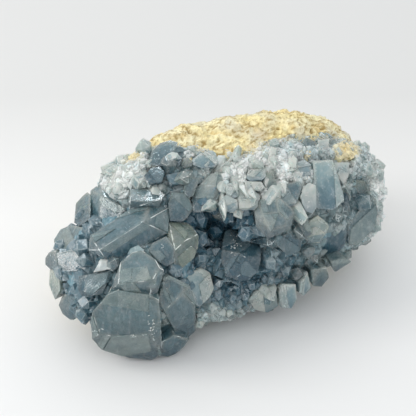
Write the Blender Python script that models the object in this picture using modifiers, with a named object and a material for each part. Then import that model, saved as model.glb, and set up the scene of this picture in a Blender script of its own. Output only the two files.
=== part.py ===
"""Celestite cluster: a broken piece of geode wall, rock behind and one crust of crystals in front.

The cluster lies as it came off the wall: the rock with its clayey rind is the back, the top and the
underside, and the crystals cover the front and both ends. The rock rests on a small flat spot.
Sizes are millimetres until the last step, which scales both solids to metres. +Z is up, +X is the
long way of the cluster and the crystals face -Y.
"""
import math
import random

import bmesh
import bpy
from mathutils import Matrix, Vector, noise
from mathutils.bvhtree import BVHTree

MM = 0.001
SEED = 41
PART_NAME = "celestite_cluster"

# Rock: round lumps that flow together, as (centre, half sizes); the ground cuts them off flat
ROCK_LUMPS = (
    ((16, 10, 26.5), (43, 24, 28.6)),
    ((-5, 14, 29), (27, 20, 26)),
    ((-31, 1, 20.5), (23, 21, 19.5)),
    ((4, 1, 11.5), (42, 22, 13.6)),
)
ROCK_VOXEL = 2.0
ROCK_TRIANGLES = 1700
ROCK_ROUGHNESS = 1.5
ROCK_GRAIN = 11.0

# Bed of the crust: lumps set out from the rock towards the front, with the hollow taken out
BED_LUMPS = (
    ((14, -1, 28), (44, 26, 25)),
    ((-14, 6, 33), (26, 20, 22)),
    ((-34, -6, 24), (23, 23, 20)),
    ((0, -10, 13.5), (36, 18, 12)),
    ((38, -5, 25), (18, 18, 18)),
)
HOLLOW_LUMPS = (
    ((-9, -17, 38), (8, 10, 9)),
    ((0, -20, 31), (9, 9, 8)),
)
HOLLOW_WALL = 5.0
BED_VOXEL = 2.4
BED_TRIANGLES = 600
ROCK_GAP = 0.35
CRUST_LIFT = 0.6
CRUST_TRIANGLES = 6400
FLAT_ANGLE = math.radians(2)
CENTRING = Vector((0, -0.3, 0))
WELD = 2e-4

# The front: crystals are laid out on a plane across the cluster, as (right, up, out) seen by an
# eye that looks down on it from the front
VIEW_AZIMUTH = math.radians(-25)
VIEW_ELEVATION = math.radians(40)
VIEW_DISTANCE = 480.0
PLANE_ORIGIN = Vector((-5.5, -4.5, 36.5))

OUT = Vector((
    math.sin(VIEW_AZIMUTH) * math.cos(VIEW_ELEVATION),
    -math.cos(VIEW_AZIMUTH) * math.cos(VIEW_ELEVATION),
    math.sin(VIEW_ELEVATION),
))
RIGHT = Vector((math.cos(VIEW_AZIMUTH), math.sin(VIEW_AZIMUTH), 0))
UP = OUT.cross(RIGHT)

# Large crystals: how far the highest corner stands above the bed, then the corners that show, as
# (right, up, how far below the highest corner)
LARGE_CRYSTALS = {
    "long_prism": (6.5, (
        (-37, -13.3, 0), (-22.3, -4, 0), (-40, -8.3, 3), (-33.3, -4, 5.5), (-26.7, 0.3, 5.5),
        (-19.7, 2.3, 5), (-40.7, -13.3, 3), (-15, 2, 6.5), (-13.3, 1, 7), (-14, -7.7, 6),
        (-19.3, -11, 5), (-30.3, -16, 4), (-34.7, -16.5, 3))),
    "mirror": (6, (
        (-26.7, 7, 4), (-17.3, 7.3, 4), (-15, 5.3, 2.5), (-16, 3.7, 1), (-20, 2.7, 0),
        (-26.7, 3.3, 0), (-27.7, 2, 2), (-27, 0, 3), (-17, 1, 3))),
    "upper_left": (5, (
        (-40, 6.5, 3), (-38, 8, 3), (-36, 8, 2), (-33, 5.7, 2), (-28, 0.3, 2.5), (-31, -3, 2),
        (-36.3, -7, 1.5), (-40, -6, 3), (-36.7, 5, 0), (-36.8, -4, 0))),
    "left_shoulder": (4.5, (
        (-44.7, 2.3, 2), (-43.3, 4, 2), (-41, 6, 1), (-40, 5.3, 0), (-40, -2.7, 0),
        (-42, -4.3, 0), (-43.7, -5.3, 1), (-45.3, -4.3, 2), (-45, -0.7, 2))),
    "left_round": (5.5, (
        (-52, -10, 3), (-51, -8, 3), (-49.7, -6.3, 2.5), (-46.7, -5, 1.5), (-44, -5.3, 1),
        (-40.3, -6, 1.5), (-42, -9.7, 0), (-45, -11.7, 0), (-46.7, -13, 0.5), (-49.7, -13.3, 2),
        (-51.7, -12, 3))),
    "left_edge": (4.5, (
        (-55, -16, 2), (-53.7, -13.7, 1), (-51.3, -13.7, 0), (-50.7, -18.7, 0), (-53.3, -20, 1),
        (-55, -18.3, 2))),
    "glossy": (4, (
        (-51.3, -14.3, 1), (-48.3, -14, 1), (-45.7, -13, 1.5), (-44.3, -14, 1),
        (-42.3, -17.3, 0.5), (-41.3, -19.3, 0.5), (-43.3, -20.6, 0), (-48, -20.4, 0),
        (-50.7, -18, 0.5))),
    "bright_chip": (4.5, (
        (-37.3, -17.7, 2), (-36.3, -16.3, 2), (-34.3, -16.3, 2), (-32.7, -19, 1),
        (-33.3, -19.7, 0), (-37.3, -20.3, 0), (-39, -20.7, 1))),
    "under_chip": (4.5, (
        (-39.3, -21, 2), (-33, -20, 2), (-34.3, -24.3, 1), (-36, -28, 1), (-39, -28.3, 0),
        (-42.7, -29, 1), (-44, -27, 1), (-44, -22, 2))),
    "low_left": (5.5, (
        (-50, -30, 2), (-48, -27.3, 1.5), (-46, -26.3, 1), (-44, -27.3, 0.5), (-43, -31.7, 0),
        (-42.7, -33.7, 0.5), (-44.7, -36, 1), (-46.7, -36.7, 1.5), (-49.3, -34.7, 2),
        (-50.7, -31.7, 2))),
    "mid_left": (3.5, (
        (-50, -20, 1), (-44, -20.7, 0), (-44.5, -25, 0), (-48, -26.5, 0.5), (-51, -24, 1.5))),
    "left_rim": (3.5, (
        (-53.6, -20, 1.5), (-50.7, -19.3, 0), (-50, -26.7, 0), (-51.7, -30, 1), (-53.8, -25, 1.5))),
    "centre_block": (8, (
        (-30, -17.3, 2), (-26, -14, 3.5), (-22.7, -13.3, 3.5), (-18.3, -16.3, 3),
        (-16.7, -19.3, 2.5), (-19.3, -23.3, 0), (-30.7, -24.7, 0), (-33, -26.3, 3),
        (-27.3, -28.7, 3.5), (-20, -28.7, 3.5), (-17.3, -27.3, 4), (-15.3, -20, 4))),
    "wedge": (5, (
        (-19.3, -11, 2), (-14.7, -8.7, 2), (-13.3, -10, 1.5), (-11.7, -13, 0), (-12, -17.3, 1),
        (-14.3, -18.7, 1.5), (-16.7, -17.7, 1.5), (-18.3, -15.7, 2), (-20.5, -13.5, 2))),
    "olive_top": (8, (
        (-13.7, -4, 5), (-8, -4, 5), (-6, -5.3, 4), (-4, -8, 3), (-8, -10, 0.8), (-11.7, -13.3, 0),
        (-13.3, -11, 2), (-14, -7.3, 4), (-4.3, -13.3, 4), (-5.3, -16, 4.5), (-10, -20, 4),
        (-12, -18, 2.5))),
    "grey_block": (4, (
        (-14, 2, 1), (-13, 5.7, 2), (-8.3, 5.7, 2), (-6.7, 4.3, 1.5), (-5.7, 0.7, 1),
        (-7.3, -2, 0.5), (-9.3, -3.7, 0), (-13.3, -3.7, 0))),
    "pale_cap": (7.5, (
        (-15.7, -23, 5), (-13.7, -21.7, 5.5), (-6.7, -25, 2.5), (-9, -27.7, 0.5), (-12.7, -31, 0),
        (-15.3, -34, 1), (-17.3, -30, 3.5), (-4.7, -32, 2.5), (-4.3, -36.7, 3.5),
        (-4.7, -40.3, 5), (-8, -43.3, 5), (-11.7, -40.5, 2.5))),
    "pale_wing": (6.5, (
        (-9, -22, 3), (-6.7, -20.7, 3), (-2.7, -19.3, 3), (0, -20.7, 2.5), (0.6, -23.3, 2),
        (1.3, -26, 2), (0, -29, 1.5), (-3.3, -32.3, 0.5), (-4.7, -31.7, 0), (-6.3, -27.3, 0),
        (-7.3, -24.7, 1))),
    "great_bottom": (10.2, (
        (-40, -37.3, 3.5), (-39.3, -34, 4), (-37, -31, 4.5), (-34, -28, 5), (-30.7, -26.7, 5),
        (-20, -28.5, 4.5), (-17, -30, 4.5), (-16.4, -36, 3), (-20, -41.3, 0), (-27.3, -42.7, 0),
        (-33.3, -42, 0), (-37, -41.3, 0.8), (-39.5, -43, 3), (-36, -46.7, 4), (-27, -49.5, 4.5),
        (-19, -50.2, 5), (-16, -47.7, 5), (-16.3, -42, 3))),
    "white_blade": (8, (
        (-16.3, -34.3, 1), (-15, -35, 0.5), (-13.3, -37.3, 0), (-12, -39.7, 0.5), (-13, -42.7, 1.5),
        (-14.3, -44.7, 2.5), (-15.5, -42.7, 2), (-15.9, -38.3, 1))),
    "bottom_block": (7.4, (
        (-16, -44, 0.5), (-12, -41.7, 0), (-8, -43.2, 1), (-6.9, -43, 1.5), (-8.7, -45.7, 2),
        (-11.3, -48, 2.5), (-14, -49, 3), (-16.7, -48.7, 3))),
    "hollow_block": (14, (
        (4, -13.3, 2), (5, -7, 5), (6.7, -6.3, 5), (11.3, -8, 4.5), (14, -11.7, 3),
        (10, -14.5, 0), (17.3, -12.7, 4), (17, -16.7, 3.5), (16, -20.7, 3.5), (13.3, -23, 3.5),
        (10, -23.7, 3), (5.3, -22, 2.5), (3.7, -17.3, 2))),
    "hanging_blade": (5.5, (
        (-6, -0.7, 1), (-6.3, 3.3, 2), (-5, 7, 3), (-2.3, 10, 4), (0.3, 12.3, 5), (3, 13, 5.5),
        (5, 12, 5.5), (4, 7.3, 3.5), (1.3, 4, 1), (-0.7, -0.3, 0), (-5.3, -1, 0))),
    "narrow_blade": (5, (
        (-8.7, 6, 1), (-8, 10, 2), (-6.7, 11.3, 2.5), (-3.3, 10.7, 2.5), (-4.7, 8, 1),
        (-6, 4.7, 0), (-7.3, 4.3, 0))),
    "white_point": (5, (
        (5, 8, 1.5), (6, 9.3, 2), (10.7, 7.7, 1.5), (10, 5.3, 0.5), (8.3, 3.7, 0), (5.3, 5.3, 0.5))),
    "brow_block": (5.5, (
        (10, 6.7, 2), (15.3, 6.3, 2), (16.7, 5, 2), (16, 2, 0.5), (14.7, 0, 0), (11, -0.3, 0),
        (9.7, 0.3, 0), (9.3, 3.3, 1))),
    "small_box": (4.5, (
        (2.3, 2, 0.5), (3.7, 3.8, 1), (5.3, 5.3, 1.5), (9.3, 3.3, 1), (9.3, 0.7, 0),
        (8, -0.7, 0), (6, -0.7, 0))),
    "olive_tooth": (2.5, (
        (0.3, -0.2, 0.5), (5, -0.2, 0.5), (5.3, -1.7, 0), (3, -4, 0.5), (0.7, -2, 0))),
    "window": (7, (
        (14.7, -0.7, 2), (16.3, 3.3, 3), (21.7, 5.3, 3.5), (27, 1, 3), (28.3, -1, 2.5),
        (27, -6, 2), (23.3, -8, 1.5), (19.3, -9.7, 1.5), (15.3, -5.7, 2), (17.7, -1.2, 0.6),
        (23.3, -0.7, 0.6), (26, -3.5, 0.4), (25.3, -5.5, 0), (20, -7.3, 0), (17.7, -4.4, 0.2))),
    "great_right": (6.5, (
        (35.3, 9, 1), (34.3, 16.7, 3), (41, 16.7, 3), (43.3, 8.3, 2), (44.7, 5, 1.5),
        (44.7, 3.3, 1), (42.7, 1, 0.5), (41, 0, 0.3), (36.7, 0.3, 0), (35.3, 1, 0))),
    "milky_front": (7, (
        (30.3, 5, 1), (31.7, 8.3, 2), (33.7, 9, 2), (35.3, 8.3, 1.5), (35.6, 0.7, 0),
        (34, -1.3, 0), (31.7, -0.3, 0.5), (30.7, 2.3, 0.5))),
    "blue_face": (4.5, (
        (23.3, 9, 2), (30, 9.7, 2), (31, 8, 1.5), (30, 5.3, 1), (29, 2.3, 0), (26.7, 0.7, 0),
        (24, 1, 0), (23.3, 3.3, 0.5))),
    "upper_small": (4, (
        (27.7, 16, 2), (31.7, 16.7, 2), (34, 15, 1.5), (33.7, 11.7, 0), (29.3, 10.7, 0),
        (27.7, 12.7, 0.5))),
    "sugary": (5, (
        (41.7, 16, 1), (46.7, 16, 1.5), (46, 10.7, 0), (44.7, 8.3, 0), (43.3, 10, 0),
        (41.3, 12.7, 0))),
    "beige_left": (5, (
        (26.7, 0, 1), (29.3, 2, 1.5), (31, -0.7, 1), (32.7, -3.3, 0.5), (34, -8, 0),
        (32, -9.3, 0.5), (30, -6, 0.5), (28.3, -2, 0.8))),
    "beige_right": (5.5, (
        (33, -3.7, 1), (36, -1.7, 1.5), (38, -3.3, 1), (39.7, -5.3, 0.5), (38.7, -7.7, 0),
        (36.7, -10.7, 1), (34.3, -11, 1), (32, -9.3, 1))),
    "dark_right": (3, (
        (39.7, -6.3, 0), (45.3, -4, 0.5), (46, -7.3, 1), (45.3, -11.3, 1), (43.3, -14, 1.5),
        (40, -15.3, 1.5), (36.5, -15.5, 1.5), (36.7, -11, 0.5))),
    "right_slab": (4.5, (
        (45.7, -4.7, 0.5), (47.3, -2.7, 0.5), (51, 0.3, 1), (53.3, 3.3, 1.5), (54.7, 4.7, 2),
        (56.2, 0, 2), (55, -6, 2), (51.7, -9, 1), (49, -12, 0.5), (46, -11.7, 0))),
    "olive_right": (3.5, (
        (47.3, 10, 0.5), (52, 9.3, 1), (52.7, 6.7, 1), (50, 5, 0.3), (47.7, 7.7, 0))),
    "under_window": (3.5, (
        (20, -10.3, 0.5), (26.7, -7.3, 0), (30.7, -10, 0.5), (30, -14, 1), (26, -15.3, 1),
        (23.3, -13.3, 1))),
    "grey_twin": (5, (
        (-21, 15.7, 0), (-19.3, 20, 1), (-16.7, 22.5, 2), (-13.3, 23.5, 2), (-10.7, 22.7, 2),
        (-12.7, 20, 1), (-13.3, 15, 0), (-15.7, 14.7, 0), (-19.3, 15, 0))),
    "dark_slab": (4, (
        (-12.3, 19.3, 1), (-10, 21.3, 1.5), (-8, 20, 1.5), (-9, 17.3, 1), (-10, 14.7, 0),
        (-12, 14, 0))),
    "brow_grey": (5, (
        (-6.3, 16.7, 1), (-3.3, 19, 1.5), (0.7, 20, 2), (2, 19, 1.5), (3, 15.7, 0.5),
        (1.3, 14.3, 0), (-2.3, 14, 0), (-5.7, 15, 0))),
    "dark_crystal": (4.5, (
        (-22.3, 11, 0.5), (-20, 14, 1.5), (-16.7, 14.7, 2), (-15, 12.7, 1), (-16, 9.3, 0),
        (-20, 8.7, 0))),
    "shaded": (3, (
        (-15, 11.7, 1), (-10.7, 12.7, 1.5), (-8.7, 8.7, 0.5), (-13.3, 8.3, 0))),
    "brow_wall": (5, (
        (12.7, 13.3, 1), (18.3, 14, 1.5), (18.7, 11.3, 0.5), (17.3, 10, 0), (13.3, 9.7, 0),
        (12, 11, 0.5))),
    "brow_lip": (5.5, (
        (11.7, 9.7, 1.5), (17.3, 9.5, 1.5), (18.3, 7.7, 0.5), (17, 6.3, 0), (12.7, 6.5, 0))),
    "green_column": (4.5, (
        (18.7, 12.7, 1.5), (21.3, 12.7, 1.5), (22.7, 6.7, 0.3), (20, 5.3, 0), (18.3, 8, 0.3))),
    "grey_window": (4, (
        (30, 22.3, 1), (32, 24.3, 1.5), (34.7, 23.3, 1.5), (35.3, 20, 0), (32.7, 19.3, 0),
        (30.3, 20.3, 0))),
    "white_lump": (4.5, (
        (35.8, 23.3, 1.5), (40, 24, 1.5), (39.3, 20, 0.5), (36.5, 19, 0))),
    "rim_left": (3.5, (
        (12.3, -30, 0.5), (15.3, -27, 0), (20, -26.7, 0), (22.3, -28.3, 0.5), (22.8, -32, 1.5),
        (19.3, -34.3, 2.5), (15, -33.3, 2))),
    "rim_right": (3.5, (
        (23.2, -26.7, 0.3), (24, -24.7, 0), (28.7, -24.7, 0.5), (29, -30, 1.5), (27.3, -33, 2.5),
        (24, -32.7, 2))),
    "rim_chip": (3.5, (
        (30, -24, 0.5), (32.7, -20.7, 0), (33.8, -26, 1), (31.3, -28.7, 2), (29.7, -27.3, 1.5))),
    "rim_slab": (3.5, (
        (34.3, -20, 0), (39, -19.3, 0.3), (39.7, -22.7, 1), (37.3, -25.7, 2), (34.5, -25.5, 1.5))),
    "rim_end": (3, (
        (40, -17.3, 0), (45, -16, 0.5), (47.3, -17.3, 1), (42, -20.7, 1.5))),
}
ROOT_DEPTH = 9.0
ROOT_TAPER = 0.72
BED_FOLLOW = 0.45

# Where the crystals end and the rind begins, as (right, up) on the front plane
RIND_LINE = (
    (-45, 6), (-30, 14.5), (-20, 20), (-10, 24), (0, 20.5), (15, 19.5), (25, 21), (33, 25),
    (42, 24), (50, 30))

# Small crystals: width by place, and the shape they share
SMALL_WIDTH = (3.0, 4.4)
BLOCKY_WIDTH = (4.2, 6.4)
SMALL_COUNT = 140
SMALL_SPACING = 0.95
LARGE_MARGIN = 1.2
HABIT_LENGTH = 0.95
HABIT_THICKNESS = 0.66
LEAN = 0.38


def clear_scene():
    for obj in list(bpy.data.objects):
        bpy.data.objects.remove(obj, do_unlink=True)


def new_collection(name):
    collection = bpy.data.collections.new(name)
    bpy.context.scene.collection.children.link(collection)
    return collection


def mesh_object(name, bm, collection):
    """Move a bmesh into a new object of a collection."""
    mesh = bpy.data.meshes.new(name)
    bm.to_mesh(mesh)
    bm.free()
    obj = bpy.data.objects.new(name, mesh)
    collection.objects.link(obj)
    return obj


def apply_modifiers(obj):
    """Replace an object's mesh by the one its modifiers give."""
    bpy.context.view_layer.update()
    evaluated = obj.evaluated_get(bpy.context.evaluated_depsgraph_get())
    mesh = bpy.data.meshes.new_from_object(evaluated)
    obj.modifiers.clear()
    obj.data = mesh


def reskin(obj, voxel, smoothing):
    """Give a body one even closed skin."""
    skin = obj.modifiers.new("skin", "REMESH")
    skin.mode = "VOXEL"
    skin.voxel_size = voxel
    flow = obj.modifiers.new("flow", "SMOOTH")
    flow.iterations = smoothing
    apply_modifiers(obj)


def lump_body(name, lumps, voxel, collection):
    """Round lumps flowed together into one closed skin."""
    bm = bmesh.new()
    for centre, half in lumps:
        place = Matrix.Translation(centre) @ Matrix.Diagonal((*half, 1))
        bmesh.ops.create_icosphere(bm, subdivisions=4, radius=1.0, matrix=place)
    obj = mesh_object(name, bm, collection)
    reskin(obj, voxel, 6)
    return obj


def thin_out(obj, triangles):
    """Reduce a skin to about so many triangles."""
    count = sum(len(face.vertices) - 2 for face in obj.data.polygons)
    thin = obj.modifiers.new("thin", "DECIMATE")
    thin.ratio = min(1.0, triangles / count)
    apply_modifiers(obj)


def roughen(obj, amount, grain):
    """Push the skin in and out by lumpy noise, with ledges where the noise folds."""
    normals = [vertex.normal.copy() for vertex in obj.data.vertices]
    for vertex, normal in zip(obj.data.vertices, normals):
        spot = vertex.co / grain
        lump = noise.fractal(spot, 0.9, 2.0, 3)
        ledge = abs(noise.noise(spot * 1.7 + Vector((7, 3, 5))))
        vertex.co += normal * amount * (lump + 0.6 - 1.6 * ledge)


def cut_level(obj, height):
    """Cut the underside off flat at a height."""
    bm = bmesh.new()
    bm.from_mesh(obj.data)
    geometry = bm.verts[:] + bm.edges[:] + bm.faces[:]
    cut = bmesh.ops.bisect_plane(
        bm, geom=geometry, dist=1e-5, plane_co=(0, 0, height), plane_no=(0, 0, 1), clear_inner=True)
    rim = [item for item in cut["geom_cut"] if isinstance(item, bmesh.types.BMEdge)]
    bmesh.ops.edgenet_fill(bm, edges=rim)
    bmesh.ops.triangulate(bm, faces=bm.faces[:])
    bmesh.ops.recalc_face_normals(bm, faces=bm.faces[:])
    bm.to_mesh(obj.data)
    bm.free()


def grown_copy(obj, amount, collection):
    """A copy of a body with its skin moved out, farther at sharp corners so that every facet moves enough."""
    bm = bmesh.new()
    bm.from_mesh(obj.data)
    bm.normal_update()
    moves = []
    for vertex in bm.verts:
        facing = min(vertex.normal.dot(face.normal) for face in vertex.link_faces)
        moves.append(vertex.normal * (amount / max(facing, 0.4)))
    for vertex, move in zip(bm.verts, moves):
        vertex.co += move
    return mesh_object(obj.name + "_grown", bm, collection)


def boolean(obj, operation, other):
    """Join or cut an object with an object or with a whole collection.

    So many crystals meet edge to edge that the exact solver leaves edges with four faces here.
    """
    modifier = obj.modifiers.new("boolean", "BOOLEAN")
    modifier.operation = operation
    modifier.solver = "MANIFOLD"
    if isinstance(other, bpy.types.Collection):
        modifier.operand_type = "COLLECTION"
        modifier.collection = other
    else:
        modifier.object = other
    apply_modifiers(obj)


def front_point(right, up, out):
    """The point at a place on the front plane and a height above it."""
    shrink = (VIEW_DISTANCE - out) / VIEW_DISTANCE
    return PLANE_ORIGIN + (RIGHT * right + UP * up) * shrink + OUT * out


def front_place(point):
    """Where a point shows on the front plane, and its height above it."""
    offset = point - PLANE_ORIGIN
    out = offset.dot(OUT)
    shrink = (VIEW_DISTANCE - out) / VIEW_DISTANCE
    return offset.dot(RIGHT) / shrink, offset.dot(UP) / shrink, out


def bed_below(bed_tree, right, up):
    """The bed's height and outward direction under a place on the front plane."""
    eye = PLANE_ORIGIN + OUT * VIEW_DISTANCE
    ray = front_point(right, up, 0) - eye
    hit, normal, _, _ = bed_tree.ray_cast(eye, ray.normalized())
    if hit is None:
        hit, normal, _, _ = bed_tree.find_nearest(front_point(right, up, 0))
    return front_place(hit)[2], normal


def convex(points):
    """The convex solid around a set of points."""
    bm = bmesh.new()
    for point in points:
        bm.verts.new(point)
    hull = bmesh.ops.convex_hull(bm, input=bm.verts[:])
    spare = [item for item in hull["geom_interior"] + hull["geom_unused"]
             if isinstance(item, bmesh.types.BMVert)]
    bmesh.ops.delete(bm, geom=list(set(spare)), context="VERTS")
    bmesh.ops.recalc_face_normals(bm, faces=bm.faces[:])
    return bm


def large_crystal(bed_tree, proud, corners):
    """Corners of a crystal that grows out of the bed and shows the given corners in front."""
    middle = [sum(corner[axis] for corner in corners) / len(corners) for axis in range(2)]
    height, normal = bed_below(bed_tree, *middle)
    facing = max(normal.dot(OUT), 0.35)
    lean_right = -normal.dot(RIGHT) / facing * BED_FOLLOW
    lean_up = -normal.dot(UP) / facing * BED_FOLLOW
    shown = []
    for right, up, below in corners:
        lean = lean_right * (right - middle[0]) + lean_up * (up - middle[1])
        shown.append(front_point(right, up, height + proud - below + lean))
    centre = sum(shown, Vector()) / len(shown)
    inward = -(normal + OUT).normalized() * (ROOT_DEPTH + proud)
    root = [centre + (corner - centre) * ROOT_TAPER + inward for corner in shown]
    return shown + root


def habit(width, thickness, length, root, tip, slant):
    """Celestite's own shape: a six-sided flat prism with a chisel tip, along +Z."""
    half = width / 2
    side = thickness / 2
    outline = [(half, 0), (half * 0.5, side), (-half * 0.5, side),
               (-half, 0), (-half * 0.5, -side), (half * 0.5, -side)]
    shoulder = length * (1 - tip)
    points = [Vector((x * 0.8, y * 0.8, -root)) for x, y in outline[::2]]
    points += [Vector((x, y, shoulder + slant * x)) for x, y in outline]
    points += [Vector((half * 0.6, 0, length)), Vector((-half * 0.5, 0, length * 0.97))]
    return points


def small_zone(right, up):
    """Widths and lengths of the small crystals at a place on the front plane."""
    if right < -12 or right > 44:
        return BLOCKY_WIDTH, 0.9
    if up > 2:
        return SMALL_WIDTH, 1.0
    if up < -22:
        return SMALL_WIDTH, 0.75
    return BLOCKY_WIDTH, 0.8


def inside_ring(right, up, ring, margin):
    """Whether a place lies inside a ring of corners or within a margin of it."""
    inside = False
    for (x1, y1), (x2, y2) in zip(ring, ring[1:] + ring[:1]):
        if (y1 > up) != (y2 > up) and right < (x2 - x1) * (up - y1) / (y2 - y1) + x1:
            inside = not inside
        along = Vector((x2 - x1, y2 - y1))
        reach = Vector((right - x1, up - y1))
        share = min(max(reach.dot(along) / max(along.length_squared, 1e-6), 0), 1)
        if (reach - along * share).length < margin:
            return True
    return inside


def above_rind_line(right, up):
    """Whether a place on the front plane lies above the line where the rind begins."""
    for (x1, y1), (x2, y2) in zip(RIND_LINE, RIND_LINE[1:]):
        if x1 <= right < x2:
            return up > y1 + (y2 - y1) * (right - x1) / (x2 - x1)
    return False


def shown_outlines():
    """Each large crystal's corners as a ring on the front plane."""
    rings = []
    for _, corners in LARGE_CRYSTALS.values():
        middle_x = sum(corner[0] for corner in corners) / len(corners)
        middle_y = sum(corner[1] for corner in corners) / len(corners)
        ring = sorted(((x, y) for x, y, _ in corners),
                      key=lambda spot: math.atan2(spot[1] - middle_y, spot[0] - middle_x))
        rings.append(ring)
    return rings


def bed_spots(bed, rock_tree, chance):
    """Random places on the bed where it stands clear of the rock, with their outward directions."""
    faces = [(face.center.copy(), face.normal.copy(), face.area) for face in bed.data.polygons]
    weights = [area for _, _, area in faces]
    while True:
        index = chance.choices(range(len(faces)), weights)[0]
        polygon = bed.data.polygons[index]
        corners = [bed.data.vertices[i].co for i in polygon.vertices[:3]]
        share = sorted((chance.random(), chance.random()))
        spot = (corners[0] * share[0] + corners[1] * (share[1] - share[0])
                + corners[2] * (1 - share[1]))
        near, direction, _, _ = rock_tree.find_nearest(spot)
        if (spot - near).dot(direction) > 0.6:
            yield spot, faces[index][1]


def small_crystals(bed, rock_tree, collection):
    """Scatter small crystals over the bed between the large ones."""
    chance = random.Random(SEED)
    rings = shown_outlines()
    taken = []
    spots = bed_spots(bed, rock_tree, chance)
    tries = 0
    while len(taken) < SMALL_COUNT and tries < 6000:
        tries += 1
        spot, normal = next(spots)
        right, up, _ = front_place(spot)
        widths, stretch = small_zone(right, up)
        width = chance.uniform(*widths)
        if normal.dot(OUT) > 0.1 and (above_rind_line(right, up) or any(
                inside_ring(right, up, ring, LARGE_MARGIN) for ring in rings)):
            continue
        reach = width * SMALL_SPACING
        if any((spot - other).length < (reach + other_reach) / 2 * 1.15 for other, other_reach in taken):
            continue
        taken.append((spot, reach))
        axis = normal + Vector([chance.gauss(0, LEAN) for _ in range(3)])
        points = habit(
            width, width * chance.uniform(HABIT_THICKNESS, 0.95),
            width * HABIT_LENGTH * stretch * chance.uniform(0.8, 1.25), width * 0.8,
            chance.uniform(0.3, 0.55), chance.uniform(-0.35, 0.35))
        turn = axis.to_track_quat("Z", "Y").to_matrix().to_4x4()
        place = Matrix.Translation(spot) @ turn @ Matrix.Rotation(chance.uniform(0, math.tau), 4, "Z")
        mesh_object("small", convex([place @ point for point in points]), collection)


def keep_largest(obj):
    """Drop loose chips and closed pores, and leave the one outer skin."""
    bm = bmesh.new()
    bm.from_mesh(obj.data)
    bmesh.ops.remove_doubles(bm, verts=bm.verts[:], dist=WELD)
    bmesh.ops.dissolve_degenerate(bm, edges=bm.edges[:], dist=WELD)
    bmesh.ops.triangulate(bm, faces=bm.faces[:])
    pieces = []
    left = set(bm.faces)
    while left:
        piece = [left.pop()]
        for face in piece:
            for edge in face.edges:
                fresh = [other for other in edge.link_faces if other in left]
                left.difference_update(fresh)
                piece.extend(fresh)
        pieces.append(piece)
    pieces.sort(key=len)
    for piece in pieces[:-1]:
        bmesh.ops.delete(bm, geom=piece, context="FACES")
    bm.to_mesh(obj.data)
    bm.free()


def merge_flat(obj):
    """Merge facets that lie in one plane."""
    bm = bmesh.new()
    bm.from_mesh(obj.data)
    bmesh.ops.dissolve_limit(
        bm, angle_limit=FLAT_ANGLE, verts=bm.verts[:], edges=bm.edges[:], use_dissolve_boundaries=False)
    bmesh.ops.triangulate(bm, faces=bm.faces[:])
    bm.to_mesh(obj.data)
    bm.free()


def material(name, colour, roughness):
    """A plain material of one colour."""
    made = bpy.data.materials.new(name)
    made.use_nodes = True
    shader = made.node_tree.nodes["Principled BSDF"]
    shader.inputs["Base Color"].default_value = (*colour, 1)
    shader.inputs["Roughness"].default_value = roughness
    shader.inputs["Metallic"].default_value = 0.0
    made.diffuse_color = (*colour, 1)
    return made


def build_rock(parts, guides):
    """The rock with its clayey rind, cut flat where it rests."""
    rock = lump_body("matrix", ROCK_LUMPS, ROCK_VOXEL, parts)
    behind_hollow = tuple(
        (centre, [half + HOLLOW_WALL for half in halves]) for centre, halves in HOLLOW_LUMPS)
    boolean(rock, "DIFFERENCE", lump_body("behind_hollow", behind_hollow, ROCK_VOXEL, guides))
    reskin(rock, ROCK_VOXEL, 2)
    roughen(rock, ROCK_ROUGHNESS, ROCK_GRAIN)
    thin_out(rock, ROCK_TRIANGLES)
    cut_level(rock, 0)
    keep_largest(rock)
    return rock


def build_crust(rock, parts, guides):
    """Bed and crystals fused into one crust that fits over the rock."""
    bed = lump_body("celestite_crystals", BED_LUMPS, BED_VOXEL, parts)
    hollow = lump_body("hollow", HOLLOW_LUMPS, BED_VOXEL, guides)
    thin_out(bed, BED_TRIANGLES)
    boolean(bed, "DIFFERENCE", hollow)
    bed_mesh = bmesh.new()
    bed_mesh.from_mesh(bed.data)
    bed_tree = BVHTree.FromBMesh(bed_mesh)
    bed_mesh.free()
    rock_mesh = bmesh.new()
    rock_mesh.from_mesh(rock.data)
    rock_tree = BVHTree.FromBMesh(rock_mesh)
    rock_mesh.free()
    crystals = new_collection("crystals")
    for name, (proud, corners) in LARGE_CRYSTALS.items():
        mesh_object(name, convex(large_crystal(bed_tree, proud, corners)), crystals)
    small_crystals(bed, rock_tree, crystals)
    boolean(bed, "UNION", crystals)
    keep_largest(bed)
    merge_flat(bed)
    thin_out(bed, CRUST_TRIANGLES)
    cut_level(bed, CRUST_LIFT)
    boolean(bed, "DIFFERENCE", grown_copy(rock, ROCK_GAP, guides))
    keep_largest(bed)
    for obj in list(crystals.objects) + list(guides.objects):
        bpy.data.objects.remove(obj, do_unlink=True)
    for spare in (crystals, guides):
        bpy.data.collections.remove(spare)
    return bed


def main():
    clear_scene()
    parts = new_collection(PART_NAME)
    guides = new_collection("guides")
    rock = build_rock(parts, guides)
    crust = build_crust(rock, parts, guides)
    for obj in (rock, crust):
        obj.data.transform(Matrix.Scale(MM, 4) @ Matrix.Translation(CENTRING))
        obj.data.update()
    rock.data.materials.clear()
    rock.data.materials.append(material("rind", (0.72, 0.62, 0.38), 0.9))
    crust.data.materials.clear()
    crust.data.materials.append(material("celestite", (0.26, 0.38, 0.44), 0.25))


main()
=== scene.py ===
"""Looks of the celestite cluster: clear grey-blue crystals, sugary druse and the clayey rind.

Shapes are worked out in millimetres in the frame of the solids before centring, and placed by PLACE.
"""
import math
import random

import bmesh
import bpy
import numpy as np
from mathutils import Matrix, Vector, noise
from mathutils.bvhtree import BVHTree


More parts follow.
